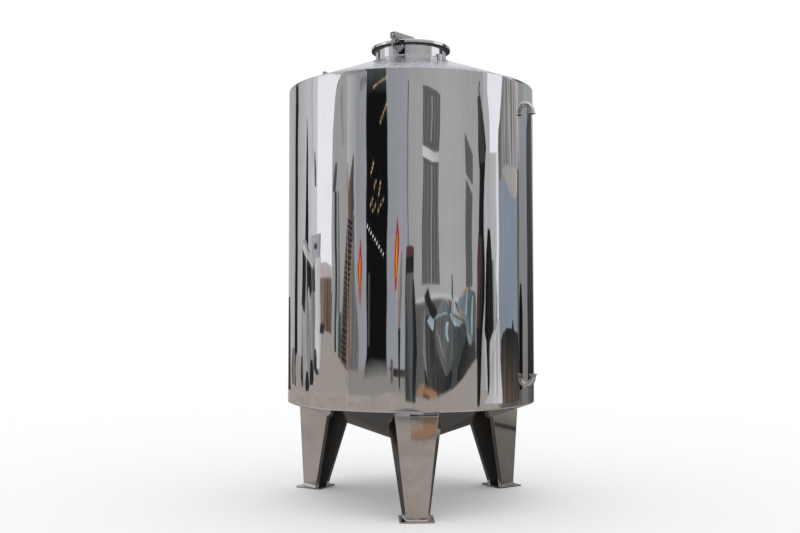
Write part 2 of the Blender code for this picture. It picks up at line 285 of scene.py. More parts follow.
def swept(name, path, radius, material, sides=8, closed=False, ripple=0.0, pitch=0.008):
    """A round bar along a path. Ripple is the share by which its radius swells at each pitch."""
    rows = []
    count = len(path)
    travelled = 0.0
    first = None
    for index, point in enumerate(path):
        ahead = path[(index + 1) % count] if closed or index < count - 1 else point
        behind = path[index - 1] if closed or index > 0 else point
        along = (ahead - behind).normalized()
        if first is None:
            first = along.orthogonal().normalized()
        first = (first - along * first.dot(along)).normalized()
        if index:
            travelled += (point - path[index - 1]).length
        size = radius * (1.0 - ripple * (0.5 + 0.5 * math.sin(2 * math.pi * travelled / pitch)))
        rows.append(ring(point, first, along.cross(first), size, sides))
    if not closed:
        return add_mesh(name, *joined_rows([[path[0]]] + rows + [[path[-1]]]), material)
    # The last ring's points may have turned against the first ring's
    shift = min(range(sides), key=lambda k: (rows[-1][k] - rows[0][0]).length)
    points, faces = joined_rows(rows)
    last = (count - 1) * sides
    for k in range(sides):
        following = (k + 1) % sides
        faces.append([last + (k + shift) % sides, last + (following + shift) % sides, following, k])
    return add_mesh(name, points, faces, material)


def prism(name, outline, low, high, place, material):
    """A block between two depths. Place turns two coordinates and a depth into a point."""
    points, sides = joined_rows([[place(x, y, depth) for x, y in outline] for depth in (low, high)])
    count = len(outline)
    ends = [list(range(count)), list(range(count, 2 * count))]
    return add_mesh(name, points, ends + sides, material)


def plate(name, outline, low, high, place, material, bevel):
    """A flat plate with softened edges."""
    piece = prism(name, outline, low, high, place, material)
    modifier = piece.modifiers.new("edges", "BEVEL")
    modifier.width = bevel
    modifier.segments = 3
    modifier.limit_method = "ANGLE"
    modifier.angle_limit = math.radians(50)
    modifier.harden_normals = True
    return piece


def cut_round(target, start, end, radius):
    """Cuts a round hole through a piece, from one point to another."""
    axis = (end - start).normalized()
    first = axis.orthogonal().normalized()
    second = axis.cross(first)
    circles = [ring(centre, first, second, radius, ROD_STEPS) for centre in (start, end)]
    cut_with(target, add_mesh("tool", *joined_rows([[start], *circles, [end]]), target.data.materials[0]))


def cut_with(target, tool):
    """Cuts a closed shape out of a piece and removes the shape."""
    modifier = target.modifiers.new("hole", "BOOLEAN")
    modifier.operation = "DIFFERENCE"
    modifier.solver = "EXACT"
    modifier.object = tool
    bpy.context.view_layer.update()
    graph = bpy.context.evaluated_depsgraph_get()
    mesh = bpy.data.meshes.new_from_object(target.evaluated_get(graph))
    target.modifiers.clear()
    old = target.data
    target.data = mesh
    bpy.data.meshes.remove(old)
    bpy.data.objects.remove(tool)


def dress(piece, body, slot, *nodes):
    """The piece moves with this body and stands for these nodes; slot is not used."""
    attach(piece, body)
    if nodes:
        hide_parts(*nodes)


def fitting(name, node, corners, material, steps, slot="fittings", body="tank", closed=True, place=in_plane):
    """A round piece through these corners, dressed as this node."""
    piece = turned(name, rounded(corners, closed=closed), material, steps, place, closed)
    dress(piece, body, slot, node)


def bead(name, path, radius, material, ripple, pitch, closed=True, slot="fittings", body="tank"):
    """A weld along a path."""
    dress(swept(name, path, radius, material, closed=closed, ripple=ripple, pitch=pitch), body, slot)


# Materials


class Nodes:
    """A material's nodes. A value is a number, a tuple or another node's output."""

    def __init__(self, name):
        self.material = bpy.data.materials.new(name)
        self.material.use_nodes = True
        self.tree = self.material.node_tree
        self.shader = self.tree.nodes["Principled BSDF"].inputs
        self.place = self.add("ShaderNodeTexCoord", "Object", {})

    def give(self, socket, value):
        if isinstance(value, bpy.types.NodeSocket):
            self.tree.links.new(value, socket)
        elif socket.type == "RGBA":
            socket.default_value = (*value, 1.0)
        else:
            socket.default_value = value

    def add(self, kind, output, values, **settings):
        node = self.tree.nodes.new(kind)
        for key, value in settings.items():
            setattr(node, key, value)
        for key, value in values.items():
            self.give(node.inputs[key], value)
        return node.outputs[output]

    def stretched(self, scale):
        return self.add("ShaderNodeMapping", "Vector", {"Scale": scale, "Vector": self.place})

    def noise(self, scale, detail=4.0, rough=0.5, place=None, distortion=0.0):
        values = {"Scale": scale, "Detail": detail, "Roughness": rough, "Distortion": distortion}
        return self.add("ShaderNodeTexNoise", "Fac", {**values, "Vector": place or self.place})

    def spread(self, value, low, high, to_low=0.0, to_high=1.0):
        """Maps low..high of a value to another range, clamped."""
        values = {"Value": value, "From Min": low, "From Max": high, "To Min": to_low, "To Max": to_high}
        return self.add("ShaderNodeMapRange", "Result", values, clamp=True)

    def sum(self, first, second, operation="ADD"):
        return self.add("ShaderNodeMath", "Value", {0: first, 1: second}, operation=operation)

    def blend(self, share, first, second):
        """A colour between two."""
        return self.add("ShaderNodeMix", 2, {0: share, 6: first, 7: second}, data_type="RGBA")

    def bump(self, height, distance, below=None):
        values = {"Distance": distance, "Strength": 1.0, "Height": height}
        if below is not None:
            values["Normal"] = below
        return self.add("ShaderNodeBump", "Normal", values)

    def finish(self, colour, roughness, normal, metallic=1.0):
        values = {"Metallic": metallic, "Base Color": colour, "Roughness": roughness, "Normal": normal}
        for key, value in values.items():
            self.give(self.shader[key], value)
        return self.material


def polished_steel():
    """Mirror polished sheet with faint smudges and a slight ripple."""
    n = Nodes("polished_steel")
    smudge = n.noise(2.6, 5.0, 0.6, distortion=0.6)
    colour = n.blend(n.spread(smudge, 0.35, 0.75), (0.735, 0.732, 0.728), (0.69, 0.684, 0.676))
    lines = n.noise(420.0, 2.0, 0.5, place=n.stretched((1.0, 1.0, 0.015)))
    rough = n.sum(n.spread(smudge, 0.45, 0.8, 0.022, 0.06), n.spread(lines, 0.3, 0.7, 0.0, 0.01))
    return n.finish(colour, rough, n.bump(n.noise(5.5, 2.0, 0.4), 0.00022))


def mottled_steel():
    """The roof's sheet: duller, with the small dents and rolling marks of hand work, scorched at its rim."""
    n = Nodes("mottled_steel")
    patch = n.noise(14.0, 5.0, 0.65)
    colour = n.blend(n.spread(patch, 0.35, 0.7), (0.9, 0.89, 0.91), (0.74, 0.73, 0.75))
    speck = n.spread(n.noise(62.0, 3.0, 0.6), 0.5, 0.66)
    colour = n.blend(n.sum(speck, 0.45, "MULTIPLY"), colour, (0.34, 0.36, 0.42))
    level = n.add("ShaderNodeVectorMath", "Value", {0: n.stretched((1.0, 1.0, 0.0))}, operation="LENGTH")
    rim = n.spread(level, 0.72, 0.93)
    scorch = n.spread(n.noise(48.0, 3.0, 0.7), 0.46, 0.56)
    scale = n.sum(rim, scorch, "MULTIPLY")
    colour = n.blend(scale, colour, (0.3, 0.32, 0.38))
    n.shader["Specular IOR Level"].default_value = 0.1
    rough = n.spread(n.noise(34.0, 4.0, 0.6), 0.3, 0.75, 0.16, 0.32)
    dents = n.bump(n.noise(26.0, 4.0, 0.6), 0.0012)
    fine = n.bump(n.noise(75.0, 2.0, 0.5), 0.0005, below=dents)
    beaten = n.bump(n.sum(rim, n.noise(48.0, 3.0, 0.6), "MULTIPLY"), 0.0045, below=fine)
    material = n.finish(colour, rough, beaten)
    n.give(n.shader["Metallic"], n.sum(n.sum(scale, -1.0, "MULTIPLY"), 1.0))
    return material


def leg_steel():
    """Cold rolled sheet with a warm cast, scuffs and handling marks."""
    n = Nodes("leg_steel")
    cloud = n.noise(7.0, 5.0, 0.6)
    colour = n.blend(n.spread(cloud, 0.3, 0.75), (0.7, 0.685, 0.665), (0.6, 0.575, 0.55))
    scuff = n.spread(n.noise(38.0, 3.0, 0.7, distortion=1.2), 0.66, 0.74)
    colour = n.blend(scuff, colour, (0.42, 0.39, 0.36))
    rough = n.sum(n.spread(cloud, 0.3, 0.8, 0.045, 0.09), n.sum(scuff, 0.12, "MULTIPLY"))
    return n.finish(colour, rough, n.bump(n.noise(9.0, 3.0, 0.5), 0.0003))


def leg_shade_steel():
    """The legs' inner face: a duller sheet, its colour darkened as painted shade for the unlit inside of the
    channel.
    """
    n = Nodes("leg_shade_steel")
    cloud = n.noise(11.0, 5.0, 0.65)
    colour = n.blend(n.spread(cloud, 0.3, 0.75), (0.43, 0.42, 0.41), (0.34, 0.335, 0.33))
    return n.finish(colour, n.spread(cloud, 0.3, 0.8, 0.42, 0.6), n.bump(n.noise(90.0, 3.0, 0.6), 0.0002))


def satin_steel():
    """Fittings brushed in one direction."""
    n = Nodes("satin_steel")
    colour = n.blend(n.spread(n.noise(30.0, 4.0, 0.6), 0.3, 0.7), (0.7, 0.7, 0.69), (0.6, 0.595, 0.58))
    lines = n.noise(900.0, 2.0, 0.5, place=n.stretched((0.06, 1.0, 1.0)))
    return n.finish(colour, n.spread(lines, 0.3, 0.7, 0.2, 0.34), n.bump(lines, 0.00004))


def weld_steel(name, bright, tinted):
    """Brushed weld metal with a faint heat tint in places."""
    n = Nodes(name)
    colour = n.blend(n.spread(n.noise(22.0, 3.0, 0.5), 0.35, 0.7), bright, tinted)
    rough = n.spread(n.noise(160.0, 3.0, 0.6), 0.3, 0.7, 0.24, 0.42)
    return n.finish(colour, rough, n.bump(n.noise(260.0, 2.0, 0.5), 0.0003), metallic=0.45)


def black_rubber():
    """The manway's gasket, matt with a little dust."""
    n = Nodes("black_rubber")
    dust = n.noise(45.0, 5.0, 0.7)
    colour = n.blend(n.spread(dust, 0.45, 0.8), (0.014, 0.014, 0.015), (0.045, 0.044, 0.042))
    rough = n.spread(dust, 0.3, 0.8, 0.55, 0.8)
    return n.finish(colour, rough, n.bump(n.noise(600.0, 2.0, 0.5), 0.0001), metallic=0.0)


# The studio


def plain_stage(name, points, faces, tones, camera=False):
    """A studio surface with one tone, or with one at each point.

    It is plain and shows to the camera, or it glows and shows in the polished sheet.
    """
    material = bpy.data.materials.new(name)
    material.use_nodes = True
    tree = material.node_tree
    tree.nodes.clear()
    output = tree.nodes.new("ShaderNodeOutputMaterial")
    surface = tree.nodes.new("ShaderNodeBsdfDiffuse" if camera else "ShaderNodeEmission")
    tree.links.new(surface.outputs[0], output.inputs["Surface"])
    added = add_object(name, points, faces, material)
    if isinstance(tones, tuple):
        surface.inputs["Color"].default_value = (*tones, 1.0)
    else:
        layer = added.data.color_attributes.new("tone", "FLOAT_COLOR", "POINT")
        for corner, tone in zip(layer.data, tones):
            corner.color = (*tone, 1.0)
        reader = tree.nodes.new("ShaderNodeVertexColor")
        reader.layer_name = "tone"
        tree.links.new(reader.outputs["Color"], surface.inputs["Color"])
    added.visible_camera = camera
    added.visible_glossy = not camera
    added.visible_diffuse = False
    added.visible_transmission = False
    added.visible_shadow = False


def disc(radius, height, rings=24, steps=96):
    """A level disc, with its rings closer together towards the middle."""
    rows = [[Vector((0.0, 0.0, height))]]
    for number in range(1, rings + 1):
        reach = radius * (number / rings) ** 1.5
        rows.append(level_ring(reach, height, steps))
    return joined_rows(rows)


def mixed(first, second, share):
    """The numbers between two rows of numbers, at this share of the way."""
    return tuple(a + (b - a) * share for a, b in zip(first, second))


def scaled(tone, factor):
    return tuple(value * factor for value in tone)


def between(stops, value):
    """The number at this value on straight lines between stops."""
    for (first, low), (second, high) in zip(stops, stops[1:]):
        if value <= second:
            return low + (high - low) * max(0.0, (value - first) / (second - first))
    return stops[-1][1]


def from_camera(point):
    """The azimuth of a point, counted from the camera's, from -180 to 180."""
    azimuth = math.degrees(math.atan2(point.x, -point.y))
    return (azimuth - CAMERA_AZIMUTH + 180.0) % 360.0 - 180.0


def floor_tone(point):
    """The hall's floor: a painted shadow under and behind the tank, darker towards its right, with faint
    stains.
    """
    reach = math.hypot(point.x, point.y)
    direction = from_camera(point)
    stain_and_shade = 1.0 + 0.16 * noise.noise(Vector((point.x * 0.8, point.y * 0.8, 1.0)))
    stain_and_shade += 0.1 * noise.noise(Vector((point.x * 2.6, point.y * 2.6, 4.0)))
    near = between(FLOOR_NEAR, direction)
    far = between(FLOOR_FAR, direction)
    # Painted shadow of the tank behind it, and a darker floor off to the right
    stain_and_shade *= between(((3.0, near), (4.2, 1.0), (7.0, 1.0), (7.8, far)), reach)
    return mixed(SHADE, scaled(FLOOR, stain_and_shade), between(SHADE_FADE, reach))


def wall_tone(point):
    """The hall's wall behind the tank: upright bands over a dark foot, and light above."""
    direction = from_camera(point)
    band = noise.noise(Vector((math.cos(math.radians(direction)) * 9.0, direction * 0.16, 3.0)))
    if point.z > WALL_LIGHT:
        return BRIGHT
    return scaled(DARK if point.z < WALL_FOOT else DIM, 1.0 + 0.55 * band)


def shown(angle, height, reach):
    """The point of the studio's wall that the shell shows the camera at this angle and height of its own."""
    camera = in_plane(CAMERA_AZIMUTH, CAMERA_REACH, CAMERA_HEIGHT)
    normal = outward(CAMERA_AZIMUTH + angle)
    spot = normal * RADIUS + Vector((0.0, 0.0, height))
    ray = (spot - camera).normalized()
    ray = ray - normal * (2.0 * ray.dot(normal))
    level = Vector((ray.x, ray.y))
    here = Vector((spot.x, spot.y))
    along = here.dot(level)
    run = math.sqrt(along * along - level.length_squared * (here.length_squared - reach * reach)) - along
    return spot + ray * (run / level.length_squared)


def card(name, tones, streak, edges, layer):
    """A card on the studio's wall, given by where the shell shows it.

    Tones are one, two from left to right, or four: low left, low right, top left and top right.
    Edges are the height on the shell and the left and right angle there, from low to high. An upright
    rectangle has one edge: its low and top height and its left and right angle.
    """
    reach = WALL_REACH - WALL_LAYER * (layer + 1)
    if isinstance(tones[0], float):
        tones = (tones,)
    if len(tones) < 4:
        tones = (tones[0], tones[-1]) * 2
    if len(edges) == 1:
        low, high, *sides = edges[0]
        edges = ((low, *sides), (high, *sides))
    widest = max(right - left for height, left, right in edges)
    across = min(90, max(4, int(widest / CARD_STEP_ANGLE)))
    stops = []
    for start, end in zip(edges, edges[1:]):
        steps = max(1, int((end[0] - start[0]) / CARD_STEP_HEIGHT))
        stops += [mixed(start, end, step / steps) for step in range(1 if stops else 0, steps + 1)]
    bottom = edges[0][0]
    top = edges[-1][0]
    if stops[-1][0] > SHELL_TOP:
        stops.append((math.inf, *stops[-1][1:]))
    rows = []
    colours = []
    for height, left, right in stops:
        row = []
        level = min(height, top)
        for k in range(across + 1):
            share = k / across
            angle = left + (right - left) * share
            point = shown(angle, level, reach)
            if height == math.inf:
                point.z = WALL_TOP
            row.append(point)
            low_tone = mixed(tones[0], tones[1], share)
            top_tone = mixed(tones[2], tones[3], share)
            tone = mixed(low_tone, top_tone, (level - bottom) / (top - bottom))
            grain = noise.noise(Vector((angle * 1.9, level * 1.1, layer * 5.3)))
            grain += 0.6 * noise.noise(Vector((angle * 5.0, level * 2.3, layer * 2.1)))
            colours.append(scaled(tone, max(0.05, 1.0 + streak * grain)))
        rows.append(row)
    plain_stage(f"card_{name}", *joined_rows(rows, wrapped=False), colours)


# The tones of the hall that the polished sheet shows
BLACK = (0.008, 0.008, 0.009)
INK = (0.026, 0.027, 0.03)
DARK = (0.07, 0.066, 0.064)
SLATE = (0.08, 0.092, 0.098)
DIM = (0.135, 0.137, 0.133)
ASH = (0.22, 0.22, 0.23)
COOL = (0.345, 0.365, 0.4)
GREY = (0.42, 0.42, 0.43)
STEEL = (0.385, 0.4, 0.44)
MIST = (0.285, 0.332, 0.405)
PALE = (0.49, 0.49, 0.51)
LIGHT = (0.56, 0.56, 0.59)
BRIGHT = (0.74, 0.73, 0.77)
WHITE = (1.08, 1.06, 1.15)
CEILING = (0.8, 0.8, 0.85)
FLOOR = (0.42, 0.382, 0.352)
SHADE = (0.066, 0.064, 0.062)
DUSK = (0.25, 0.245, 0.235)
SOIL = (0.325, 0.305, 0.285)
BROWN = (0.17, 0.125, 0.095)
EARTH = (0.24, 0.175, 0.145)
CARTON = (0.42, 0.235, 0.135)
TEAL = (0.045, 0.095, 0.09)
FILM = (0.235, 0.31, 0.35)
GLINT = (0.42, 0.54, 0.6)
RED = (0.5, 0.035, 0.03)
YELLOW = (0.8, 0.42, 0.03)
ORANGE = (0.62, 0.24, 0.04)
RUST = (0.115, 0.05, 0.052)
STRAW = (0.85, 0.62, 0.34)
ROSE = (0.56, 0.5, 0.5)

# The floor's shade under the tank, by distance from the axis: 0 is full shade and 1 is none
SHADE_FADE = ((0.86, 0.0), (1.1, 1.0))

# The floor's brightness by direction from the camera's, near the tank and far from it. Near the tank, the
# dark values behind it are its painted shadow
FLOOR_NEAR = (
    (-180.0, 0.2), (-120.0, 0.24), (-108.0, 1.0), (50.0, 1.0), (62.0, 0.46), (112.0, 0.46), (124.0, 0.12),
    (150.0, 0.11), (180.0, 0.2),
)
FLOOR_FAR = ((-180.0, 1.0), (80.0, 1.0), (87.0, 0.34), (150.0, 0.34), (165.0, 1.0), (180.0, 1.0))

# What lies on the hall's floor: tone, height, and corners given as azimuth and distance from the axis
FLOOR_PATCHES = (
    ((0.165, 0.17, 0.18), 0.002, ((10.0, 6.95), (27.0, 6.95), (27.0, 8.3), (10.0, 8.3))),
    ((0.13, 0.125, 0.118), 0.002, ((27.0, 7.3), (37.0, 7.1), (37.0, 8.3), (27.0, 8.3))),
    ((0.1, 0.105, 0.112), 0.002, ((37.0, 6.7), (52.0, 6.7), (52.0, 8.3), (37.0, 8.3))),
    ((0.045, 0.055, 0.075), 0.004, ((29.5, 7.6), (34.5, 7.5), (35.5, 8.25), (30.0, 8.3))),
    (PALE, 0.004, ((10.0, 6.8), (26.5, 6.8), (26.5, 6.95), (10.0, 6.95))),
    (DARK, 0.004, ((29.3, 5.38), (35.5, 5.34), (35.5, 6.4), (29.3, 6.4))),
    (CARTON, 0.006, ((29.5, 5.55), (35.3, 5.5), (35.2, 6.4), (29.6, 6.4))),
    (DARK, 0.004, ((39.9, 5.00), (43.5, 5.2), (48.2, 6.5), (48.2, 6.8), (39.9, 6.8))),
    (CARTON, 0.006, ((40.1, 5.15), (43.2, 5.35), (47.6, 6.55), (47.6, 6.8), (40.1, 6.8))),
    (INK, 0.004, ((116.0, 2.74), (128.0, 2.7), (142.0, 2.74), (142.0, 2.9), (128.0, 2.86), (116.0, 2.9))),
)

TOP = 3.3

# Each card: name, tones, streak and edges. Later cards lie in front of earlier ones
CARDS = (
    # The hall's walls, from left to right
    ("far_left", PALE, 0.1, (0.9, TOP, -84, -65)),
    ("left_wall", (PALE, BRIGHT), 0.06, (1.1, TOP, -61.6, -45)),
    ("sky", WHITE, 0.02, (1.66, -45, -36.2), (2.86, -45, -35.5), (3.08, -45, -34.6), (3.2, -45, -33.2),
        (TOP, -45.2, -31.2)),
    ("board", GREY, 0.12, (1.15, -36.2, -27.9), (2.86, -35.5, -27.9), (3.08, -34.6, -27.9),
        (TOP, -31.2, -27.9)),
    ("mid_light", (LIGHT, GREY), 0.04, (1.1, TOP, -27.9, -23.6)),
    ("mid_cool", (COOL, STEEL), 0.04, (1.1, TOP, -23.6, -18.9)),
    ("door_leaf", (COOL, STEEL), 0.05, (1.09, TOP, -10, -1.4)),
    ("wall", (GREY, PALE), 0.03, (0.92, TOP, -1.4, 16)),
    ("wall_end", (PALE, GREY), 0.04, (0.92, TOP, 16, 33.4)),
    ("right_strip", (LIGHT, PALE), 0.08, (0.9, 33.2, 36), (TOP, 32.6, 36)),
    ("right_sky", WHITE, 0.02, (2.68, 36, 40.8), (2.86, 35.8, 41.2), (3.02, 35.4, 42.6), (3.14, 34.8, 43.8),
        (TOP, 34.8, 43.8)),
    ("right_band", LIGHT, 0.1, (0.9, 36, 39.2), (2.68, 36, 39.8)),
    ("right_line", (BRIGHT, WHITE), 0.05, (1.4, 39.2, 41.2), (2.68, 39.6, 41)),
    ("right_wall", MIST, 0.12, (1.2, 2.6, 41, 56)),
    ("right_mottle", (ASH, GREY, ASH, ROSE), 0.95, (2.5, 41.2, 56), (2.95, 42, 56), (TOP, 43.8, 56)),
    ("right_lump", (GREY, ROSE), 0.5, (2.36, 51, 53), (2.44, 47, 55), (2.56, 43, 55.6), (2.62, 46, 52)),
    ("right_post", (DUSK, DUSK, COOL, COOL), 0.06, (0.84, TOP, 56, 65.6)),
    ("right_post_edge", (PALE, COOL), 0.1, (2.66, 55.6, 56.8), (2.98, 55.4, 57)),
    ("far_right_side", (ASH, DIM, PALE, GREY), 0.1, (0.84, 79, 84), (2.6, 75.5, 84), (TOP, 73.5, 84)),
    ("far_right", (INK, INK, SLATE, SLATE), 0.25, (0.97, 65.4, 76.5), (1.9, 65.2, 75), (2.6, 64.8, 73),
        (2.96, 65, 72), (3.1, 70, 73)),
    ("far_right_top", GREY, 0.2, (3.1, TOP, 61, 84)),
    ("right_edge_shade", DIM, 0.2, (1.1, 54.6, 56.5), (2.6, 54.4, 56.2)),
    # The floor where the hall is deep, and what stands on it
    ("ground_left", FLOOR, 0.06, (0.86, 1.17, -63, -45)),
    ("ground_deep", FLOOR, 0.06, (0.86, -46, -19), (1.09, -45, -27.6), (1.18, -45, -31.6),
        (1.33, -44.5, -34.8), (1.36, -42, -38)),
    ("ground_dusk", SOIL, 0.08, (0.88, -27, 2), (1, -29, 2), (1.1, -27.6, -9)),
    ("left_post", (INK, BLACK), 0.5, (1.18, -64.9, -61.4), (2.38, -65, -61.8), (3.1, -65, -61.5),
        (3.27, -64.4, -61.8)),
    ("left_line", PALE, 0, (2.6, -49.2, -48.5), (TOP, -49.4, -48.6)),
    ("left_slot", (INK, BLACK), 0.3, (1.6, -54.4, -51.2), (2.05, -53.9, -51.3), (2.67, -53.5, -52),
        (2.98, -53.1, -52.8)),
    ("left_stroke", DARK, 0.2, (2.45, -46.6, -45.7), (2.62, -47.2, -46.2), (2.72, -47.3, -46.9)),
    ("left_edge_red", (RUST, INK), 0.6, (0.8, -80, -71.5), (1.4, -80, -72.5), (1.62, -80, -74)),
    ("left_edge_goods", (DIM, ASH), 0.9, (0.93, -69, -64.5), (1.05, -70, -63), (1.22, -68, -65)),
    ("left_goods", (GREY, DUSK), 0.9, (0.96, -55, -48), (1.12, -58, -46.4), (1.34, -58.6, -46.6),
        (1.52, -57.6, -46), (1.8, -56.8, -46), (2, -56.4, -51), (2.06, -55.6, -53.6)),
    ("left_box", (LIGHT, COOL), 0.3, (1.86, -49.6, -42.8), (1.98, -50.2, -42.6), (2.08, -50.4, -42.4)),
    ("left_box_gap", DARK, 0.2, (1.965, 2.01, -46.9, -44.9)),
    ("left_box_side", (STEEL, ASH), 0.6, (1.92, 2.06, -44.2, -42.7)),
    ("left_panel", INK, 0.2, (1.49, -55, -54), (1.56, -57, -53.8), (1.8, -56.6, -53.2),
        (1.98, -56.2, -53.4)),
    ("left_panel_mid", INK, 0.3, (1.57, -51.6, -50), (1.66, -52.4, -48.4), (1.84, -52.4, -48.6),
        (1.92, -52, -50.6)),
    ("left_panel_split", LIGHT, 0.2, (1.57, -51.4, -50), (1.62, -51.6, -50.2), (1.68, -51.2, -50.8)),
    ("left_panel_far", (DARK, SLATE), 0.6, (1.65, -47.9, -45.8), (1.8, -48, -45.9), (1.86, -47.6, -46.4)),
    ("left_flap", (BRIGHT, ROSE), 0.6, (1.84, -48, -46.8), (1.9, -51, -48.2), (1.95, -54.6, -50.6),
        (2, -56, -53.2), (2.03, -55.4, -54.4)),
    ("left_stripe", (RUST, ROSE), 0.6, (1.3, -51, -50.2), (1.56, -51.4, -50.8)),
    ("left_wheel", INK, 0.2, (0.93, -56.6, -55.6), (1, -57.6, -55.6), (1.16, -57.2, -56.2)),
    ("left_wheel_mid", INK, 0.2, (0.905, -53.4, -50.8), (0.95, -53.8, -50.4), (1.05, -53, -51.6)),
    ("left_wheel_right", INK, 0.2, (0.955, -50, -47.8), (1, -50.2, -47.2), (1.15, -49.6, -48)),
    ("left_wheel_far", (INK, DARK), 0.2, (1.035, -45.4, -43.6), (1.08, -47, -44.4), (1.23, -46.8, -45.8)),
    ("left_pale_post", (BRIGHT, LIGHT), 0.1, (1.08, -45, -43), (1.6, -45.6, -42.4), (1.9, -45.6, -42.4)),
    ("left_far", (EARTH, BROWN), 0.7, (1.36, -42.6, -36.4), (1.76, -42.6, -36.3)),
    ("left_far_top", ROSE, 0.2, (1.76, -42.6, -36.3), (1.84, -42.6, -36.3), (1.86, -42.6, -39)),
    ("left_far_dark", INK, 0.8, (1.34, -43.5, -41), (1.42, -43, -40.4)),
    ("board_chain", (ASH, GREY), 0.3, (2.72, -30.1, -29.6), (2.89, -31.1, -30.2), (3.1, -31.3, -30.3),
        (3.2, -30.6, -30.1)),
    ("board_bar", (DIM, DARK), 0.2, (2.38, -35.6, -33.9), (2.5, -35, -33.2), (2.62, -34, -32.9)),
    ("board_pole", (DARK, INK), 0.2, (1.2, -34.4, -33.4), (2.38, -34.4, -33.2)),
    ("board_rail", (ASH, DIM), 0.3, (1.5, -32.9, -31.9), (2.38, -32.6, -31.9)),
    ("board_green", TEAL, 0.3, (1.16, -32.4, -30.9), (1.5, -32.2, -30.8)),
    ("pane", (BROWN, DIM), 0.2, (2.02, -27.4, -24.8), (2.16, -27.3, -24.8), (2.24, -24.9, -24.6)),
    ("pane_top", (BROWN, DARK), 0.2, (2.14, -26.8, -26.4), (2.28, -27.3, -24.7), (2.48, -26.6, -24.7),
        (2.64, -25, -24.7)),
    ("stack", (BROWN, EARTH), 0.55, (1.09, -28.4, -27.2), (1.15, -31.4, -25), (1.4, -30.6, -25.6),
        (1.75, -30, -25.7), (2.04, -28.8, -25.9), (2.2, -27.8, -26.6), (2.6, -27.7, -27.3)),
    ("stack_side", (DIM, ASH), 0.5, (1.1, -26.6, -22.4), (1.3, -25.6, -22.6), (1.62, -25.7, -23.8),
        (2.03, -25.8, -24.8)),
    ("warm_stroke", RED, 0.3, (1.55, -21.9, -21.6), (1.68, -22.3, -21.2), (1.82, -23, -20.8),
        (1.92, -22.4, -21.2), (2.05, -21.9, -21.7)),
    ("warm_stroke_core", (YELLOW, ORANGE), 0.6, (1.66, -21.8, -21.6), (1.8, -22.3, -21.5),
        (1.9, -22, -21.6)),
    ("mid_blot", (DIM, GREY), 0.6, (3.13, -21.6, -20.4), (3.18, -22, -18.9), (3.25, -21.4, -18.9)),
    ("doorway", BLACK, 0.2, (1.14, -19, -10.2), (2, -18.9, -10), (2.38, -19.4, -9.6), (2.8, -18.9, -10.1),
        (TOP, -18.9, -10)),
    ("doorway_foot", (DUSK, DUSK, BLACK, BLACK), 0.1, (1.03, -20, -9.8), (1.15, -19.2, -10.1)),
    ("doorway_top", (BLACK, BLACK, SLATE, SLATE), 0.4, (3.08, -18.9, -10), (3.2, -18.9, -10),
        (TOP, -18.9, -10)),
    ("doorway_leaf", (DIM, INK), 0.2, (1.25, -18.4, -17.6), (1.78, -18, -17.2)),
    ("warm_stroke_front", RED, 0.3, (1.66, -6.5, -5.9), (1.86, -6.9, -5.1), (2.02, -6.6, -5),
        (2.18, -5.9, -5.7)),
    ("warm_stroke_front_core", (YELLOW, ORANGE), 0.6, (1.76, -6.2, -5.9), (1.9, -6.3, -5.6),
        (2.06, -6, -5.6)),
    ("leaf_goods", (ROSE, BROWN), 0.7, (1.38, -5.6, -4.4), (1.66, -6, -3.6), (1.94, -5, -3.8)),
    ("leaf_line", INK, 0.2, (0.93, -5, -4.5), (1.38, -5.2, -4.2)),
    ("leaf_foot", (INK, DARK), 0.3, (1.03, -7.5, -2), (1.09, -9, -2)),
    ("extinguisher", (RUST, ASH), 0.2, (0.97, -8.2, -7.8), (1, -8.4, -7.3), (1.14, -8.5, -7.2),
        (1.16, -8.2, -7.6)),
    ("wall_joint", DIM, 0.1, (1.95, -1.45, -1.1), (3.2, -1.5, -1.1)),
    ("plinth", (DIM, BROWN), 0.25, (0.9, 1.58, 1.2, 28.4)),
    ("ledge", (BRIGHT, LIGHT), 0.15, (1.575, 2, 4.4), (1.59, 2, 21), (1.62, 9, 21)),
    ("pillar", (SLATE, DIM), 0.9, (0.84, -2.4, 1.6), (1.4, -2.3, 1.8), (1.84, -2.1, 1.2)),
    ("pillar_shade", INK, 0.2, (1.78, 1.9, -2.1, 1.2)),
    ("pillar_cap", RUST, 0.1, (1.89, -2.1, 1.2), (1.96, -2.1, 1.2), (1.97, -1.2, 0.4)),
    ("pillar_side", INK, 0.6, (0.84, 0.6, 1.8), (1.2, 0.8, 2.6), (1.6, 0.8, 2), (1.74, 1, 1.3)),
    ("wall_hook", INK, 0.1, (1.58, 17.4, 18), (1.78, 17.5, 17.9)),
    # The windows
    ("window_low", DIM, 0.25, (1.69, 4.4, 12.1), (2.3, 4.9, 11.6), (2.59, 5.2, 11.8), (2.64, 5.1, 6)),
    ("window_frame", (BRIGHT, LIGHT), 0.1, (2.6, 9, 11.9), (2.65, 5, 11.9), (2.68, 5, 11.9), (2.72, 5, 7.5)),
    ("window_top", DIM, 0.25, (2.67, 10.2, 11.8), (2.72, 5.1, 11.9), (3.1, 4.8, 12.6), (3.16, 4.7, 5.6)),
    ("far_window", DIM, 0.15, (1.7, 23.7, 26.6), (2.36, 23.6, 26.9), (2.46, 23.6, 24)),
    ("far_window_frame", PALE, 0.05, (2.38, 26.4, 27.1), (2.43, 25, 27), (2.5, 23.6, 24.6)),
    ("far_window_top", DIM, 0.15, (2.43, 26.4, 27.1), (2.51, 23.6, 27.1), (2.67, 23.6, 27.3),
        (2.82, 23.6, 23.9)),
    # The hall above what the wall shows: only the manway reaches it
    ("high_left", DARK, 0.1, (3.3, 3.32, -65.5, -59.5)),
    ("high_edge", LIGHT, 0.1, (3.3, 3.32, -37.5, -30)),
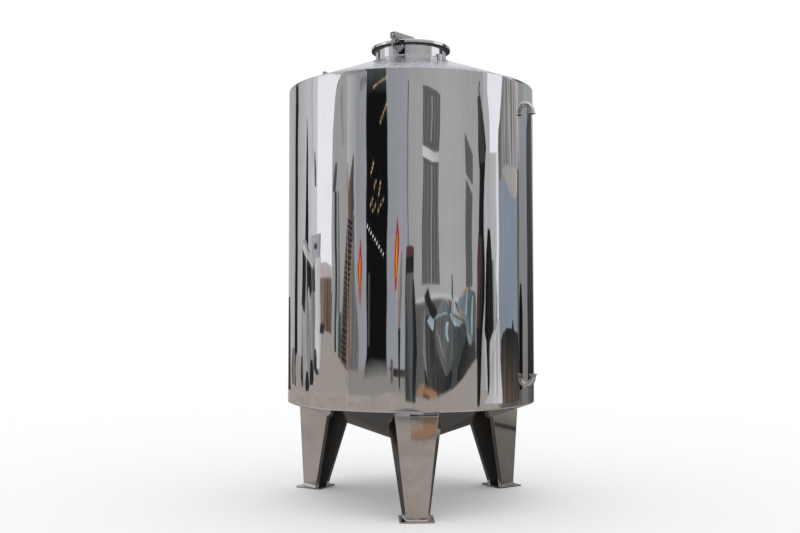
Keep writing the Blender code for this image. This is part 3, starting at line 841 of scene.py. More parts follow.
    ("high_mid", (GREY, ASH), 0.1, (3.3, 3.32, -30, -19.5)),
    ("high_door", BLACK, 0.1, (3.3, 3.32, -19.5, -9)),
    ("high_right", WHITE, 0.02, (3.3, 3.32, 43, 51.5)),
    ("high_right_post", DARK, 0.1, (3.3, 3.32, 54, 62)),
    # The goods on the right
    ("right_top_line", DARK, 0.2, (3.05, 30.6, 31.6), (3.14, 30.1, 30.6), (3.22, 30.6, 31.2)),
    ("right_dark", (INK, BLACK), 0.5, (0.8, 29, 30.2), (1.2, 28.7, 31.6), (1.6, 28.8, 32.8),
        (1.89, 29, 32.9), (2.1, 30, 32.4), (2.25, 30.2, 32.6), (2.55, 30.8, 33.6), (2.72, 30, 34),
        (2.95, 29.8, 32.4), (3.09, 29.6, 31)),
    ("right_dark_red", (RUST, INK), 0.9, (1.4, 29, 31.2), (1.7, 28.9, 31.8), (2.06, 30, 31.6)),
    ("right_dark_top", DARK, 0.6, (2.62, 30.9, 33.8), (2.95, 29.9, 32.2), (3.08, 29.7, 30.9)),
    ("right_mass", (BLACK, INK), 0.5, (0.88, 34.4, 35.4), (1.28, 34.2, 36), (1.36, 33.2, 38),
        (1.7, 33.2, 37.8), (1.95, 33.6, 36.6), (2.12, 34.4, 35.6)),
    ("right_mass_side", (ASH, PALE), 0.9, (1.36, 38, 40.4), (1.6, 37.6, 40.6), (1.9, 37, 38.6)),
    ("right_cloth", (PALE, BRIGHT), 0.55, (0.82, 32, 43.4), (0.9, 35, 43.2), (1.1, 36.4, 42.2),
        (1.3, 38.6, 41.4), (1.44, 40.2, 41.4)),
    ("right_goods", (BROWN, DARK, INK, INK), 0.6, (0.82, 43.4, 55.8), (1.1, 42.6, 56), (1.28, 42, 55.4),
        (1.34, 43.4, 54.8), (1.38, 46, 49)),
    ("right_spike", INK, 0.3, (1.34, 49.6, 51.8), (1.44, 50.3, 50.9)),
    ("right_post_line", BLACK, 0.2, (0.9, 56, 59), (1.5, 56, 59.4), (1.72, 57, 58.5)),
    ("far_right_low", (ASH, DIM), 0.3, (0.78, 0.97, 58.6, 77)),
    ("far_right_foot", (DIM, DARK), 0.2, (0.78, 0.94, 65.4, 77)),
    # The wrapped goods and cartons in the middle
    ("wrapped", (DARK, SLATE, DARK, SLATE), 0.6, (0.905, 10, 14), (0.93, 7.4, 16.6), (0.97, 6.6, 19),
        (1.01, 6.2, 21.4), (1.08, 5.8, 25), (1.15, 5.4, 28.4), (1.27, 5.2, 28.4), (1.42, 5.4, 23),
        (1.47, 6.4, 17.2), (1.5, 11, 16.4)),
    ("wrapped_low", (DARK, INK, SLATE, INK), 0.8, (0.91, 10.4, 13.4), (0.97, 8, 16.6), (1.06, 7.4, 17.4),
        (1.13, 9.6, 16), (1.19, 10.4, 13)),
    ("wrapped_gap", (INK, DARK), 0.6, (1.01, 19.4, 21.4), (1.08, 19.8, 25), (1.15, 20.6, 28.6),
        (1.27, 22.6, 28.4), (1.36, 23.8, 25.4)),
    ("wrapped_mid", (DIM, SLATE), 0.9, (1.06, 14.2, 15.4), (1.2, 11.4, 19), (1.34, 10, 19.8),
        (1.42, 10.4, 20.6), (1.47, 11.4, 17)),
    ("wrapped_hump", (FILM, SLATE), 0.9, (1.45, 9.6, 16.6), (1.5, 11, 16.8), (1.54, 12.2, 16.8),
        (1.575, 13.2, 15.6)),
    ("wrapped_spike", (FILM, COOL), 0.9, (1.405, 18, 20.4), (1.43, 17.6, 21.4), (1.47, 17, 22.2),
        (1.52, 16.8, 19.5), (1.56, 17.1, 18.8), (1.6, 17.6, 18)),
    ("wrapped_side", (FILM, SLATE), 0.8, (1.26, 25.2, 26.2), (1.34, 23.8, 28.2), (1.43, 23.5, 28.3),
        (1.5, 21.4, 28.4), (1.55, 19.6, 28.4), (1.61, 20.5, 28.2), (1.655, 22.8, 28), (1.68, 23.8, 25.6),
        (1.705, 24.4, 25.2)),
    ("wrapped_tip", (COOL, FILM), 0.6, (1.26, 25.4, 26), (1.31, 24.2, 26.6), (1.36, 23.9, 24.6)),
    ("wrapped_fall", (GLINT, FILM), 0.6, (1.34, 26.2, 26.8), (1.5, 26, 27), (1.64, 26.6, 27.2)),
    ("wrapped_rim", (GLINT, COOL), 0.4, (1.5, 23, 23.8), (1.62, 23.8, 24.3), (1.69, 24.3, 24.8)),
    ("wrapped_crest", (GLINT, FILM), 0.9, (1.44, 9.8, 10.8), (1.462, 10.8, 12.4), (1.478, 12.6, 15.4),
        (1.49, 14.2, 15.2)),
    ("wrapped_hem", (GLINT, FILM), 0.9, (1.405, 18.2, 20.2), (1.425, 17.4, 21.2), (1.45, 16.8, 18),
        (1.48, 16.2, 16.9)),
    ("wrapped_tie", (EARTH, BROWN), 0.6, (1.452, 19.4, 23.2), (1.47, 17.4, 22), (1.485, 16.2, 17.6)),
    ("wrapped_fold", (GLINT, FILM), 0.9, (1.3, 15.2, 15.8), (1.35, 14, 15.2), (1.42, 14.8, 15.8)),
    ("wrapped_crumple", (GLINT, FILM), 0.9, (1.37, 9, 9.6), (1.41, 7.7, 9.9), (1.44, 6.9, 9.8),
        (1.47, 8, 8.6)),
    ("wrapped_streak", (COOL, DIM), 0.3, (1.19, 13.5, 13.9), (1.3, 11.8, 12.6), (1.38, 10.6, 11)),
    ("wrapped_edge", FILM, 0.6, (0.98, 6.4, 6.9), (1.2, 5.2, 6.2), (1.42, 5.4, 6.2), (1.52, 5.6, 5.9)),
    ("wrapped_foot", INK, 0.2, (0.98, 6, 7), (1.08, 5.6, 6.2)),
    ("wrapped_wedge", INK, 0.2, (1.45, 9, 10.2), (1.49, 7.9, 11.2), (1.54, 7, 9.9), (1.58, 5.9, 8.5),
        (1.61, 5.5, 7.9), (1.64, 6.3, 7.4), (1.665, 6.8, 7.1)),
    ("wrapped_tag", ORANGE, 0.2, (1.545, 15.7, 16.2), (1.58, 14.8, 15.4)),
    ("wrapped_tag_side", ORANGE, 0.2, (1.498, 20.9, 21.5), (1.532, 19.9, 20.5)),
    ("wrapped_tag_high", ORANGE, 0.2, (1.64, 21.8, 22.3), (1.69, 23.3, 24.1)),
    ("ground_right", FLOOR, 0.06, (0.78, 2, 29), (0.895, 2, 29), (0.92, 13.5, 29), (0.95, 17.6, 29),
        (1, 21, 29), (1.07, 24.8, 29), (1.14, 28.4, 29)),
    ("carton", CARTON, 0.15, (0.905, 2.7, 4.4), (0.92, 2.5, 5.2), (0.955, 2.7, 5.4), (0.975, 3.6, 5.6),
        (0.995, 5, 5.6)),
    ("carton_low", CARTON, 0.15, (0.885, 8.2, 9.4), (0.905, 7.8, 10.4), (0.935, 5.6, 10.7), (0.95, 5.2, 9.6),
        (0.965, 6.8, 8.4)),
    ("carton_gap", INK, 0.1, (0.89, 6.4, 7.8), (0.912, 4.8, 7.5), (0.93, 5, 5.9)),
)

# The upright bars of the window, of which the post is paler, and the gaps in the stack
WINDOW_BARS = (5.6, 6.9, 8.2, 8.7, 10.0, 11.2)
WINDOW_POST = 8.7
STACK_GAPS = 25

# Rows of small bright marks in the doorway: tone, height and angle of both ends, and their number
MARKS = (
    (STRAW, (3.21, -10.1), (3.14, -15.5), 7),
    (STRAW, (3.02, -10.2), (2.89, -12.8), 5),
    (STRAW, (2.59, -16.2), (2.52, -17.2), 3),
    (STRAW, (2.45, -15.2), (2.42, -15.8), 2),
    (STRAW, (2.44, -13.2), (2.36, -13.8), 3),
    (STRAW, (2.33, -16.5), (2.3, -17.2), 2),
    (STRAW, (2.28, -15.2), (2.25, -16.2), 2),
    (STRAW, (2.31, -11.8), (2.24, -13.8), 3),
    (WHITE, (2.14, -18.5), (1.93, -11.5), 9),
)


def add_cards():
    for layer, (name, tones, streak, *edges) in enumerate(CARDS):
        card(name, tones, streak, edges, layer)
    layer = len(CARDS)
    for number, angle in enumerate(WINDOW_BARS, 1):
        tone = PALE if angle == WINDOW_POST else ASH
        for part, low, top in (("low", 1.7, 2.57), ("top", 2.74, 3.08)):
            edges = [(low, angle - 0.35, angle - 0.1)]
            edges += [(height, angle, angle + 0.25) for height in ((low + top) / 2, top)]
            card(f"stripe_{part}_{number}", tone, 0.2, edges, layer)
    for number in range(STACK_GAPS):
        height = 1.16 + 0.042 * number
        left = -30.9 + 0.12 * number
        edges = (
            (height - 0.022, left + 1.4, left + 2.4), (height, left + 0.1, left + 2.6),
            (height + 0.02, left - 0.4, left + 0.8),
        )
        card(f"stack_gap_{number + 1}", INK, 0.3, edges, layer + 1)
    count = 0
    for tone, first, last, number in MARKS:
        for k in range(number):
            height, angle = mixed(first, last, k / (number - 1))
            edges = ((height - 0.012, angle - 0.34, angle), (height + 0.012, angle, angle + 0.34))
            count += 1
            card(f"mark_{count}", tone, 0.5, edges, layer + 2)


def add_floor_patches():
    """Flat cards on the hall's floor, which the legs show."""
    for number, (tone, height, corners) in enumerate(FLOOR_PATCHES, 1):
        points = [in_plane(azimuth, reach, height) for azimuth, reach in corners]
        plain_stage(f"floor_patch_{number}", points, [list(range(len(points)))], tone)


def add_studio():
    """A pale floor, white surroundings, and the hall that the polished sheet shows."""
    world = bpy.data.worlds.new("white")
    bpy.context.scene.world = world
    world.use_nodes = True
    background = world.node_tree.nodes["Background"].inputs
    background["Color"].default_value = (1.0, 1.0, 1.0, 1.0)
    background["Strength"].default_value = 1.05

    plain_stage("floor", *disc(60.0, -0.0005), (0.955, 0.955, 0.955), camera=True)
    radius = WALL_REACH + 1.0
    points, faces = disc(radius, -0.001, rings=120, steps=180)
    plain_stage("hall_floor", points, faces, [floor_tone(point) for point in points])
    plain_stage("hall_ceiling", *disc(radius, WALL_TOP), CEILING)
    heights = (-0.1, 0.9, WALL_FOOT - 0.01, WALL_FOOT + 0.01, 4.0, 6.0, 7.5, WALL_TOP + 0.1)
    points, faces = joined_rows([level_ring(WALL_REACH, height, 240) for height in heights])
    plain_stage("hall_wall", points, faces, [wall_tone(point) for point in points])
    add_floor_patches()
    add_cards()


def add_camera():
    camera = bpy.data.objects.new("camera", bpy.data.cameras.new("camera"))
    bpy.context.scene.collection.objects.link(camera)
    camera.data.lens = CAMERA_LENS
    camera.data.sensor_width = 36.0
    camera.data.clip_end = 200.0
    camera.location = in_plane(CAMERA_AZIMUTH, CAMERA_REACH, CAMERA_HEIGHT)
    level = Matrix.Rotation(math.radians(CAMERA_TURN), 3, "Z") @ -outward(CAMERA_AZIMUTH)
    pitch = math.radians(CAMERA_PITCH)
    ahead = level * math.cos(pitch) + Vector((0.0, 0.0, math.sin(pitch)))
    camera.rotation_mode = "QUATERNION"
    camera.rotation_quaternion = ahead.to_track_quat("-Z", "Y")
    bpy.context.scene.camera = camera


# The vessel


def roof_height(reach):
    """The height of the roof at this distance from the axis."""
    return SHELL_TOP + ROOF_RISE * (1.0 - reach)


def sixths(name):
    """The names of the six parts of the wall or of a cone."""
    return [f"{name}_{k}" for k in range(1, 7)]


def sheet_wave(azimuth, height):
    """How far the polished wall lies inside its full radius, as rolled and welded sheet does."""
    turn = math.radians(azimuth)
    wave = 0.0003 * math.sin(11 * turn + 0.7) * math.sin(5.2 * height + 1.1)
    wave += 0.00022 * math.sin(17 * turn + 2.1 + 1.7 * height) * math.sin(8.3 * height)
    wave += 0.0003 * math.sin(7 * turn + 0.4 - 2.4 * height)
    for edge, depth in ((SHELL_LOW, 0.0001), (SHELL_TOP, 0.0003)):
        near = math.exp(-abs(height - edge) / 0.055)
        wave += near * depth * (1.0 + math.sin(13 * turn + 1.3))
    return wave + 0.0009


def add_shell(material):
    """The polished wall, with its edges drawn in at the welds."""
    count = 110
    heights = [SHELL_LOW + inset for inset in SHELL_INSETS]
    heights += [SHELL_LOW + 0.02 + (SHELL_TOP - SHELL_LOW - 0.04) * k / count for k in range(count + 1)]
    heights += [SHELL_TOP - inset for inset in reversed(SHELL_INSETS)]
    rows = []
    for height in heights:
        rows.append(around(
            SHELL_STEPS, lambda turn: in_plane(turn, RADIUS - sheet_wave(turn, height), height)))
    rows += [level_ring(SHELL_INSIDE, height, SHELL_STEPS) for height in (heights[-1], heights[0])]
    shell = add_mesh("shell", *joined_rows(rows, looped=True), material)
    for height in (SHELL_TOP - TOP_INSET, SHELL_LOW + LOW_INSET):
        cut_round(shell, Vector((0.95, 0.0, height)), Vector((1.05, 0.0, height)), TUBE_BORE)
    dress(shell, "tank", "polished_sheet", *sixths("wall"))


def cone_wave(azimuth, reach):
    """How far the sheet of a cone stands out from its straight slope, mostly a little below it."""
    turn = math.radians(azimuth)
    fade = min(1.0, (RADIUS - reach) / 0.05)
    wave = 0.0007 * math.sin(9 * turn + 5.0 * reach) * math.sin(9.0 * reach + 0.6)
    wave += 0.0005 * math.sin(23 * turn - 7.0 * reach) * math.sin(21.0 * reach)
    return fade * (wave - 0.0012)


def add_cone(name, material, low_reach, rise, edge_height):
    """Roof (rise above zero) or bottom (below): a waved cone of sheet from the shell's edge inwards."""
    side = 1.0 if rise > 0 else -1.0
    thick = SHEET * math.hypot(1.0, rise)
    outer = RADIUS - 0.003
    count = 48
    rows = []
    for k in range(count + 1):
        reach = outer + (low_reach - outer) * k / count
        base = edge_height + rise * (RADIUS - reach)
        rows.append(around(
            CONE_STEPS, lambda turn: in_plane(turn, reach, base + side * cone_wave(turn, reach))))
    for reach in (low_reach, outer):
        rows.append(level_ring(reach, edge_height + rise * (RADIUS - reach) - side * thick, CONE_STEPS))
    cone = add_mesh(name, *joined_rows(rows, looped=True), material)
    dress(cone, "tank", "polished_sheet", *sixths(name))
    return cone


def add_vessel(polished, mottled, weld, seam):
    add_shell(polished)
    roof = add_cone("roof", mottled, NECK_HOLE, ROOF_RISE, SHELL_TOP)
    up = Vector((0.0, 0.0, 0.06))
    for azimuth, reach, _, bore, _ in (TALL_SOCKET, LOW_SOCKET):
        foot = in_plane(azimuth, reach, roof_height(reach))
        cut_round(roof, foot - up, foot + up, bore)
    add_cone("bottom", polished, OUTLET_HOLE, -BOTTOM_DROP, SHELL_LOW)

    for name, height in (("weld_top", SHELL_TOP - 0.0027), ("weld_low", SHELL_LOW + 0.0027)):
        path = level_ring(RADIUS - 0.0032, height, 1600)
        bead(name, path, 0.0028, seam, 0.12, 0.012, slot="polished_sheet")
    heights = [SHELL_LOW + 0.01 + (SHELL_TOP - SHELL_LOW - 0.02) * k / 640 for k in range(641)]
    for number, azimuth in enumerate((-0.24, 179.76), 1):
        reaches = [RADIUS - 0.0016 - sheet_wave(azimuth, height) for height in heights]
        path = [in_plane(azimuth, reach, height) for reach, height in zip(reaches, heights)]
        bead(f"weld_upright_{number}", path, 0.0022, weld, 0.35, 0.016, closed=False, slot="polished_sheet")


# The manway


def add_manway(polished, weld, rubber):
    roof_edge = roof_height(NECK_RADIUS)
    inside = NECK_RADIUS - SHEET
    low = SHELL_TOP + FLANGE_LOW
    top = SHELL_TOP + FLANGE_TOP
    fitting("neck", "manway_neck", (
        (NECK_RADIUS, roof_edge - 0.01, 0.0), (NECK_RADIUS, top, 0.0012), (inside, top, 0.0012),
        (inside, roof_edge - 0.01, 0.0),
    ), polished, MANWAY_STEPS, "polished_sheet")
    skin = SEAL_SKIN
    side = FLANGE_RADIUS - skin
    fitting("flange", "manway_flange", (
        (NECK_HOLE, low, 0.001), (SEAL_START, low, 0.0), (SEAL_START, low + skin, 0.0),
        (FLANGE_BEND, low + skin, 0.003), (side, low + FLANGE_TAPER + skin, 0.002), (side, top, 0.001),
        (NECK_HOLE, top, 0.001),
    ), polished, MANWAY_STEPS, "polished_sheet")
    seal = low + skin - GAP
    lip = FLANGE_RADIUS - LIP_SHEET
    lid_low = SHELL_TOP + LID_LOW
    seal_top = SHELL_TOP + GASKET_TOP
    fitting("gasket", "manway_gasket", (
        (GASKET_BORE, top + GAP, 0.001), (side + GAP, top + GAP, 0.001),
        (side + GAP, low + FLANGE_TAPER + skin - GAP, 0.001), (FLANGE_BEND, seal, 0.002),
        (SEAL_START + 0.0005, seal, 0.0004), (SEAL_START + 0.0005, low, 0.0004), (FLANGE_BEND, low, 0.003),
        (FLANGE_RADIUS, low + FLANGE_TAPER, 0.002), (FLANGE_RADIUS, top, 0.0), (lip - GAP, top + GAP, 0.0),
        (lip - GAP, seal_top, 0.001), (GASKET_BORE, seal_top, 0.001),
    ), rubber, GASKET_STEPS, "gasket")

    rim = SHELL_TOP + LID_RIM_TOP

    def dome(reach):
        return rim + LID_DOME_RISE * (1.0 - (reach / LID_DOME_RADIUS) ** 2)

    lid = [Vector((0.012 * k, dome(0.012 * k))) for k in range(24)]
    lid += rounded((
        (0.288, dome(0.288), 0.0), (LID_DOME_RADIUS, rim, 0.01), (0.317, rim, 0.005),
        (FLANGE_RADIUS, rim - 0.0075, 0.005), (FLANGE_RADIUS, lid_low - LIP_DROP, 0.001),
        (lip, lid_low - LIP_DROP, 0.001), (lip, lid_low, 0.0), (0.292, lid_low, 0.002),
        (0.287, dome(0.287) - SHEET, 0.0),
    ), closed=False)
    lid += [Vector((0.024 * k, dome(0.024 * k) - SHEET)) for k in range(11, -1, -1)]
    piece = turned("lid", lid, polished, MANWAY_STEPS, looped=False)
    dress(piece, "manway_lid", "polished_sheet", "manway_lid")
    bead("weld_neck", level_ring(NECK_RADIUS + 0.0022, roof_edge + 0.0008, 640), 0.0036, weld, 0.2, 0.009)


def folded(path, thickness):
    """The outline of a folded sheet: this path and its parallel, to the right of the path's direction."""
    normals = []
    for first, second in zip(path, path[1:]):
        run = (second - first).normalized()
        normals.append(Vector((run.y, -run.x)))
    inner = [path[0] + normals[0] * thickness]
    for point, before, after in zip(path[1:-1], normals, normals[1:]):
        inner.append(point + (before + after) * (thickness / (1.0 + before.dot(after))))
    inner.append(path[-1] + normals[-1] * thickness)
    return path + inner[::-1]


def lengthwise(name, sections, material, inside=None):
    """A folded sheet through closed sections of the same number of points, with flat ends.

    Inside is the material of the faces on its second side; the legs give it their painted shade.
    """
    points, faces = joined_rows(sections)
    count = len(sections[0])
    half = count // 2
    sides = len(faces)
    for start in (0, len(points) - count):
        for k in range(start, start + half - 1):
            across = 2 * start + count - 1 - k
            faces.append([k, k + 1, across - 1, across])
    sheet = flat_normals(add_mesh(name, points, faces, material))
    if inside is not None:
        sheet.data.materials.append(inside)
        for face in sheet.data.polygons[:sides]:
            face.material_index = 1 if face.index % count >= half else 0
    return sheet


def add_lid_arm(satin, weld):
    """The tapering channel over the lid and the boss that carries it."""
    sections = []
    for reach, low, top in ((ARM_HEEL, 0.384, 0.4375), (0.35, 0.387, 0.441), (-0.022, 0.452, 0.488)):
        path = rounded((
            (-ARM_HALF_WIDTH, low, 0.0), (-ARM_HALF_WIDTH, top, 0.006),
            (ARM_HALF_WIDTH, top, 0.006), (ARM_HALF_WIDTH, low, 0.0),
        ), steps=5, closed=False)
        sections.append([at_hinge(reach, height, side) for side, height in folded(path, ARM_SHEET)])
    arm = lengthwise("arm", sections, satin)
    heel = rounded((
        (ARM_WEB_END, 0.46, 0.0), (ARM_WEB_END, 0.434, 0.0), (ARM_HEEL - 0.0002, 0.4335, 0.014),
        (ARM_HEEL - 0.0002, 0.382, 0.01), (0.36, 0.382, 0.0), (0.36, 0.36, 0.0),
        (0.41, 0.36, 0.0), (0.41, 0.46, 0.0),
    ), steps=8)
    cut_with(arm, prism("tool", heel, -0.05, 0.05, at_hinge, satin))
    dress(arm, "manway_lid", "fittings", "lid_arm")

    low = SHELL_TOP + LID_RIM_TOP + LID_DOME_RISE + GAP
    top = SHELL_TOP + BOSS_TOP
    corners = ((0.0, low, 0.0), (BOSS_RADIUS, low, 0.001), (BOSS_RADIUS, top, 0.001), (0.0, top, 0.0))
    fitting("boss", "lid_boss", corners, satin, ROD_STEPS, body="manway_lid", closed=False)
    path = level_ring(BOSS_RADIUS + 0.0015, low + 0.0004, 90)
    bead("weld_boss", path, 0.0022, weld, 0.25, 0.007, body="manway_lid")


def add_hinge(satin, polished, weld):
    outline = rounded((
        (0.2914, 0.286, 0.001), (0.31, 0.29, 0.01), (0.33, 0.302, 0.012), (0.372, 0.307, 0.01),
        (0.395, 0.311, 0.012), (0.395, 0.397, 0.006), (0.382, 0.409, 0.004), (0.3825, 0.4145, 0.006),
        (0.379, 0.424, 0.008), (0.368, 0.429, 0.008), (0.357, 0.424, 0.008), (0.3535, 0.4145, 0.01),
        (0.346, 0.378, 0.01), (0.334, 0.352, 0.004), (0.334, 0.346, 0.003), (0.2914, 0.346, 0.001),
    ))
    ear = plate("ear", outline, -EAR_HALF_THICKNESS, EAR_HALF_THICKNESS, at_hinge, satin, 0.001)
    dress(ear, "tank", "fittings", "hinge_ear")
    half = [
        (0.0, 0.028, 0.0), (PIN_HEAD_RADIUS, 0.0265, 0.003), (PIN_HEAD_RADIUS, PIN_HEAD_START, 0.0005),
        (PIN_RADIUS, PIN_HEAD_START, 0.0),
    ]
    corners = [(reach, -side, bend) for reach, side, bend in half] + half[::-1]
    fitting("pin", "hinge_pin", corners, polished, ROD_STEPS, closed=False, place=across_hinge)
    start = at_hinge(0.307, 0.2985, 0.0138)
    end = at_hinge(0.3055, 0.343, 0.056)
    path = [start.lerp(end, k / 6) for k in range(7)]
    dress(swept("stay", path, STAY_RADIUS, polished, sides=32), "tank", "fittings", "hinge_stay")
    for name, side in (("left", -0.0072), ("right", 0.0072)):
        path = [at_hinge(NECK_RADIUS + 0.001, 0.29 + 0.046 * k / 40, side) for k in range(41)]
        bead(f"weld_ear_{name}", path, 0.0022, weld, 0.3, 0.006, closed=False)


# The legs


def leg_outline(height):
    """Side and reach of the folded leg's outline at this height, its web in three faint facets."""
    share = height / SHELL_LOW
    web = WEB_HALF_LOW + (WEB_HALF_TOP - WEB_HALF_LOW) * share
    crease = web * CREASE_SHARE
    corner = RADIUS - (web - crease) * WEB_TURN
    depth = FLANGE_DEPTH_LOW + (FLANGE_DEPTH_TOP - FLANGE_DEPTH_LOW) * share
    end = web + depth * FLANGE_SPLAY
    path = rounded((
        (-end + LIP, corner - depth, 0.0), (-end, corner - depth, 0.008), (-web, corner, 0.008),
        (-crease, RADIUS, 0.03), (crease, RADIUS, 0.03), (web, corner, 0.008),
        (end, corner - depth, 0.008), (end - LIP, corner - depth, 0.0),
    ), steps=5, closed=False)
    return folded(path, LEG_SHEET)


def under_cone(k):
    """The height at which this corner of a leg's outline meets the bottom cone."""
    height = SHELL_LOW
    for _ in range(40):
        corner = leg_outline(height)[k]
        reach = min(RADIUS, math.hypot(corner.x, corner.y))
        height = SHELL_LOW - BOTTOM_DROP * (RADIUS - reach) - 0.001
    return height


def fine_line(points, step):
    """The same line with a point every step or less."""
    line = [points[0]]
    for first, second in zip(points, points[1:]):
        count = max(1, math.ceil((second - first).length / step))
        line.extend(first.lerp(second, k / count) for k in range(1, count + 1))
    return line


def add_leg(number, azimuth, sheet, inside, foot_bead):
    low = FOOT_THICKNESS + GAP
    count = len(leg_outline(low))
    tops = [under_cone(k) for k in range(count)]
    sections = []
    rows = 24
    for row in range(rows + 1):
        section = []
        for k, top in enumerate(tops):
            height = low + (top - low) * row / rows
            corner = leg_outline(height)[k]
            section.append(in_plane(azimuth, corner.y, height, corner.x))
        sections.append(section)
    # The channel's inner faces take the legs' painted shade
    dress(lengthwise(f"folded_leg_{number}", sections, sheet, inside), "tank", "leg_sheet", f"leg_{number}")

    half = count // 2
    foot = [in_plane(azimuth, corner.y, low + 0.001, corner.x) for corner in leg_outline(low)[:half]]
    path = fine_line(foot, 0.003)
    bead(f"weld_foot_{number}", path, 0.0032, foot_bead, 0.3, 0.008, closed=False, slot="leg_sheet")
    # The weld under the cone takes the same painted shade
    path = fine_line(sections[-1][:half], 0.004)
    bead(f"weld_cone_{number}", path, 0.0022, inside, 0.3, 0.009, closed=False, slot="leg_sheet")

    clip = FOOT_CLIP
    plan = rounded((
        (-FOOT_HALF + clip, FOOT_INNER, 0.002), (FOOT_HALF - clip, FOOT_INNER, 0.002),
        (FOOT_HALF, FOOT_INNER + clip, 0.002), (FOOT_HALF, FOOT_OUTER - clip, 0.002),
        (FOOT_HALF - clip, FOOT_OUTER, 0.002), (-FOOT_HALF + clip, FOOT_OUTER, 0.002),
        (-FOOT_HALF, FOOT_OUTER - clip, 0.002), (-FOOT_HALF, FOOT_INNER + clip, 0.002),
    ), steps=2)

    def on_floor(side, reach, height):
        return in_plane(azimuth, reach, height, side)

    piece = plate(f"foot_plate_{number}", plan, 0.0, FOOT_THICKNESS, on_floor, sheet, 0.0012)
    dress(piece, "tank", "leg_sheet", f"foot_{number}")


# The fittings


def add_elbow(kind, height, face, turn, material, weld):
    """A polished bend from the wall to a ferrule that faces down (turn -1) or up (turn 1)."""
    out = RADIUS + ELBOW_BEND
    stations = [(SHELL_INSIDE, height, 0.0)]
    steps = 24
    for step in range(steps + 1):
        angle = math.pi / 2 * step / steps
        rise = turn * ELBOW_BEND * (1.0 - math.cos(angle))
        stations.append((RADIUS + ELBOW_BEND * math.sin(angle), height + rise, angle))
    stations.append((out, face - turn * (FERRULE_THICKNESS + GAP), math.pi / 2))

    def ring_at(x, z, angle, radius):
        across = Vector((-math.sin(angle), 0.0, turn * math.cos(angle)))
        return ring(Vector((x, 0.0, z)), across, Vector((0.0, 1.0, 0.0)), radius, ROD_STEPS)

    rows = [ring_at(*station, TUBE_RADIUS) for station in stations]
    rows += [ring_at(*station, TUBE_BORE) for station in reversed(stations)]
    elbow = flat_normals(add_mesh(f"elbow_{kind}", *joined_rows(rows, looped=True), material))
    dress(elbow, "tank", "fittings", f"gauge_elbow_{kind}")

    far = -turn * FERRULE_THICKNESS
    fitting(f"ferrule_{kind}", f"gauge_ferrule_{kind}", (
        (TUBE_BORE, 0.0, 0.0008), (FERRULE_RADIUS, 0.0, 0.0012),
        (FERRULE_RADIUS, -turn * FERRULE_RIM, 0.0015), (TUBE_RADIUS + 0.0018, far, 0.0015),
        (TUBE_BORE, far, 0.0),
    ), material, TUBE_STEPS, place=upright_at(Vector((out, 0.0, face))))
    centre = Vector((0.0, height))
    path = []
    for side, level in ring(centre, Vector((1.0, 0.0)), Vector((0.0, 1.0)), TUBE_RADIUS + 0.0012, 120):
        path.append(Vector((math.sqrt(RADIUS * RADIUS - side * side) + 0.0004, side, level)))
    bead(f"weld_elbow_{kind}", path, 0.0022, weld, 0.3, 0.006)


def add_outlet(material):
    fitting("outlet", "outlet_pipe", (
        (OUTLET_RADIUS, OUTLET_TOP, 0.0006), (OUTLET_RADIUS, OUTLET_LOW, 0.0),
        (OUTLET_BORE, OUTLET_LOW, 0.0), (OUTLET_BORE, OUTLET_TOP, 0.0006),
    ), material, TUBE_STEPS)
    top = OUTLET_LOW - GAP
    low = top - FERRULE_THICKNESS
    fitting("outlet_rim", "outlet_ferrule", (
        (OUTLET_BORE, top, 0.0), (OUTLET_RADIUS + 0.002, top, 0.0012),
        (FERRULE_RADIUS, low + FERRULE_RIM, 0.001), (FERRULE_RADIUS, low, 0.0012),
        (OUTLET_BORE, low, 0.0008),
    ), material, TUBE_STEPS)


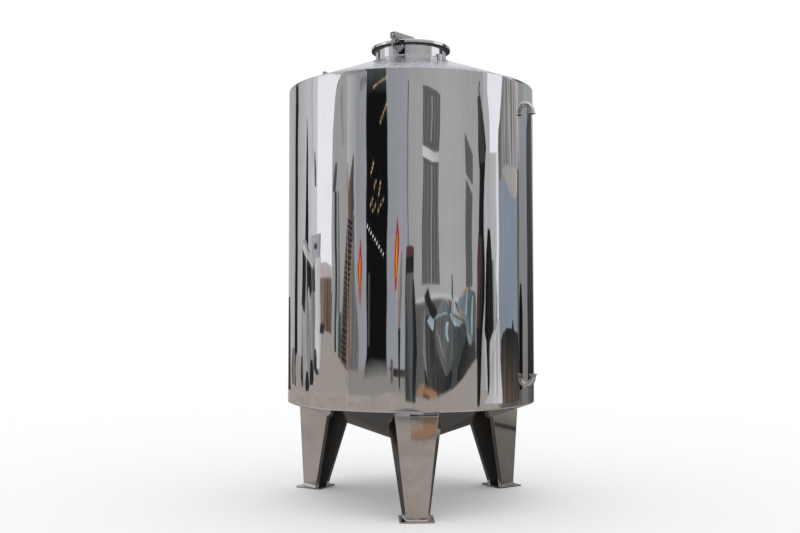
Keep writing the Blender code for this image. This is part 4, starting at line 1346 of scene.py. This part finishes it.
def add_socket(name, size, material, weld):
    azimuth, reach, radius, bore, height = size
    surface = roof_height(reach)
    fitting(name, f"roof_{name}", (
        (radius, -SOCKET_ROOT, 0.0), (radius, height, 0.0015), (bore, height, 0.001),
        (bore, -SOCKET_ROOT, 0.0),
    ), material, TUBE_STEPS, place=upright_at(in_plane(azimuth, reach, surface)))
    path = []
    for out, side in ring(Vector((0.0, 0.0)), Vector((1.0, 0.0)), Vector((0.0, 1.0)), radius + 0.001, 110):
        path.append(in_plane(azimuth, reach + out, surface - ROOF_RISE * out, side))
    bead(f"weld_{name}", path, 0.0026, weld, 0.3, 0.007)


# The tank in its studio
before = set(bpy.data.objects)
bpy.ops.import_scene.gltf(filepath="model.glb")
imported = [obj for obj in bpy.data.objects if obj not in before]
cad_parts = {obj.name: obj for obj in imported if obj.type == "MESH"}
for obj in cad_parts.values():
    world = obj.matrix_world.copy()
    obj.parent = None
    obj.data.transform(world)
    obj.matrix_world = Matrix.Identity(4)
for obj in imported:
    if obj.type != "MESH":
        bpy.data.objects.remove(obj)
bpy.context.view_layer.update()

bpy.context.scene.view_settings.view_transform = "Standard"
add_camera()
add_studio()

POLISHED = polished_steel()
MOTTLED = mottled_steel()
LEG = leg_steel()
# Painted shade for the legs' unlit insides
LEG_INSIDE = leg_shade_steel()
SATIN = satin_steel()
WELD = weld_steel("weld_steel", (0.86, 0.84, 0.86), (0.8, 0.7, 0.72))
BEAD = weld_steel("bead_steel", (0.62, 0.61, 0.66), (0.56, 0.47, 0.5))
RUBBER = black_rubber()

add_vessel(POLISHED, MOTTLED, WELD, BEAD)
add_manway(POLISHED, WELD, RUBBER)
add_lid_arm(SATIN, WELD)
add_hinge(SATIN, POLISHED, WELD)
for number, leg_azimuth in enumerate(LEG_AZIMUTHS, 1):
    add_leg(number, leg_azimuth, LEG, LEG_INSIDE, WELD if number == 1 else LEG)
add_elbow("top", SHELL_TOP - TOP_INSET, SHELL_TOP - TOP_FACE, -1, POLISHED, WELD)
add_elbow("low", SHELL_LOW + LOW_INSET, SHELL_LOW + LOW_FACE, 1, POLISHED, WELD)
add_outlet(POLISHED)
add_socket("socket_tall", TALL_SOCKET, POLISHED, WELD)
add_socket("socket_low", LOW_SOCKET, POLISHED, WELD)
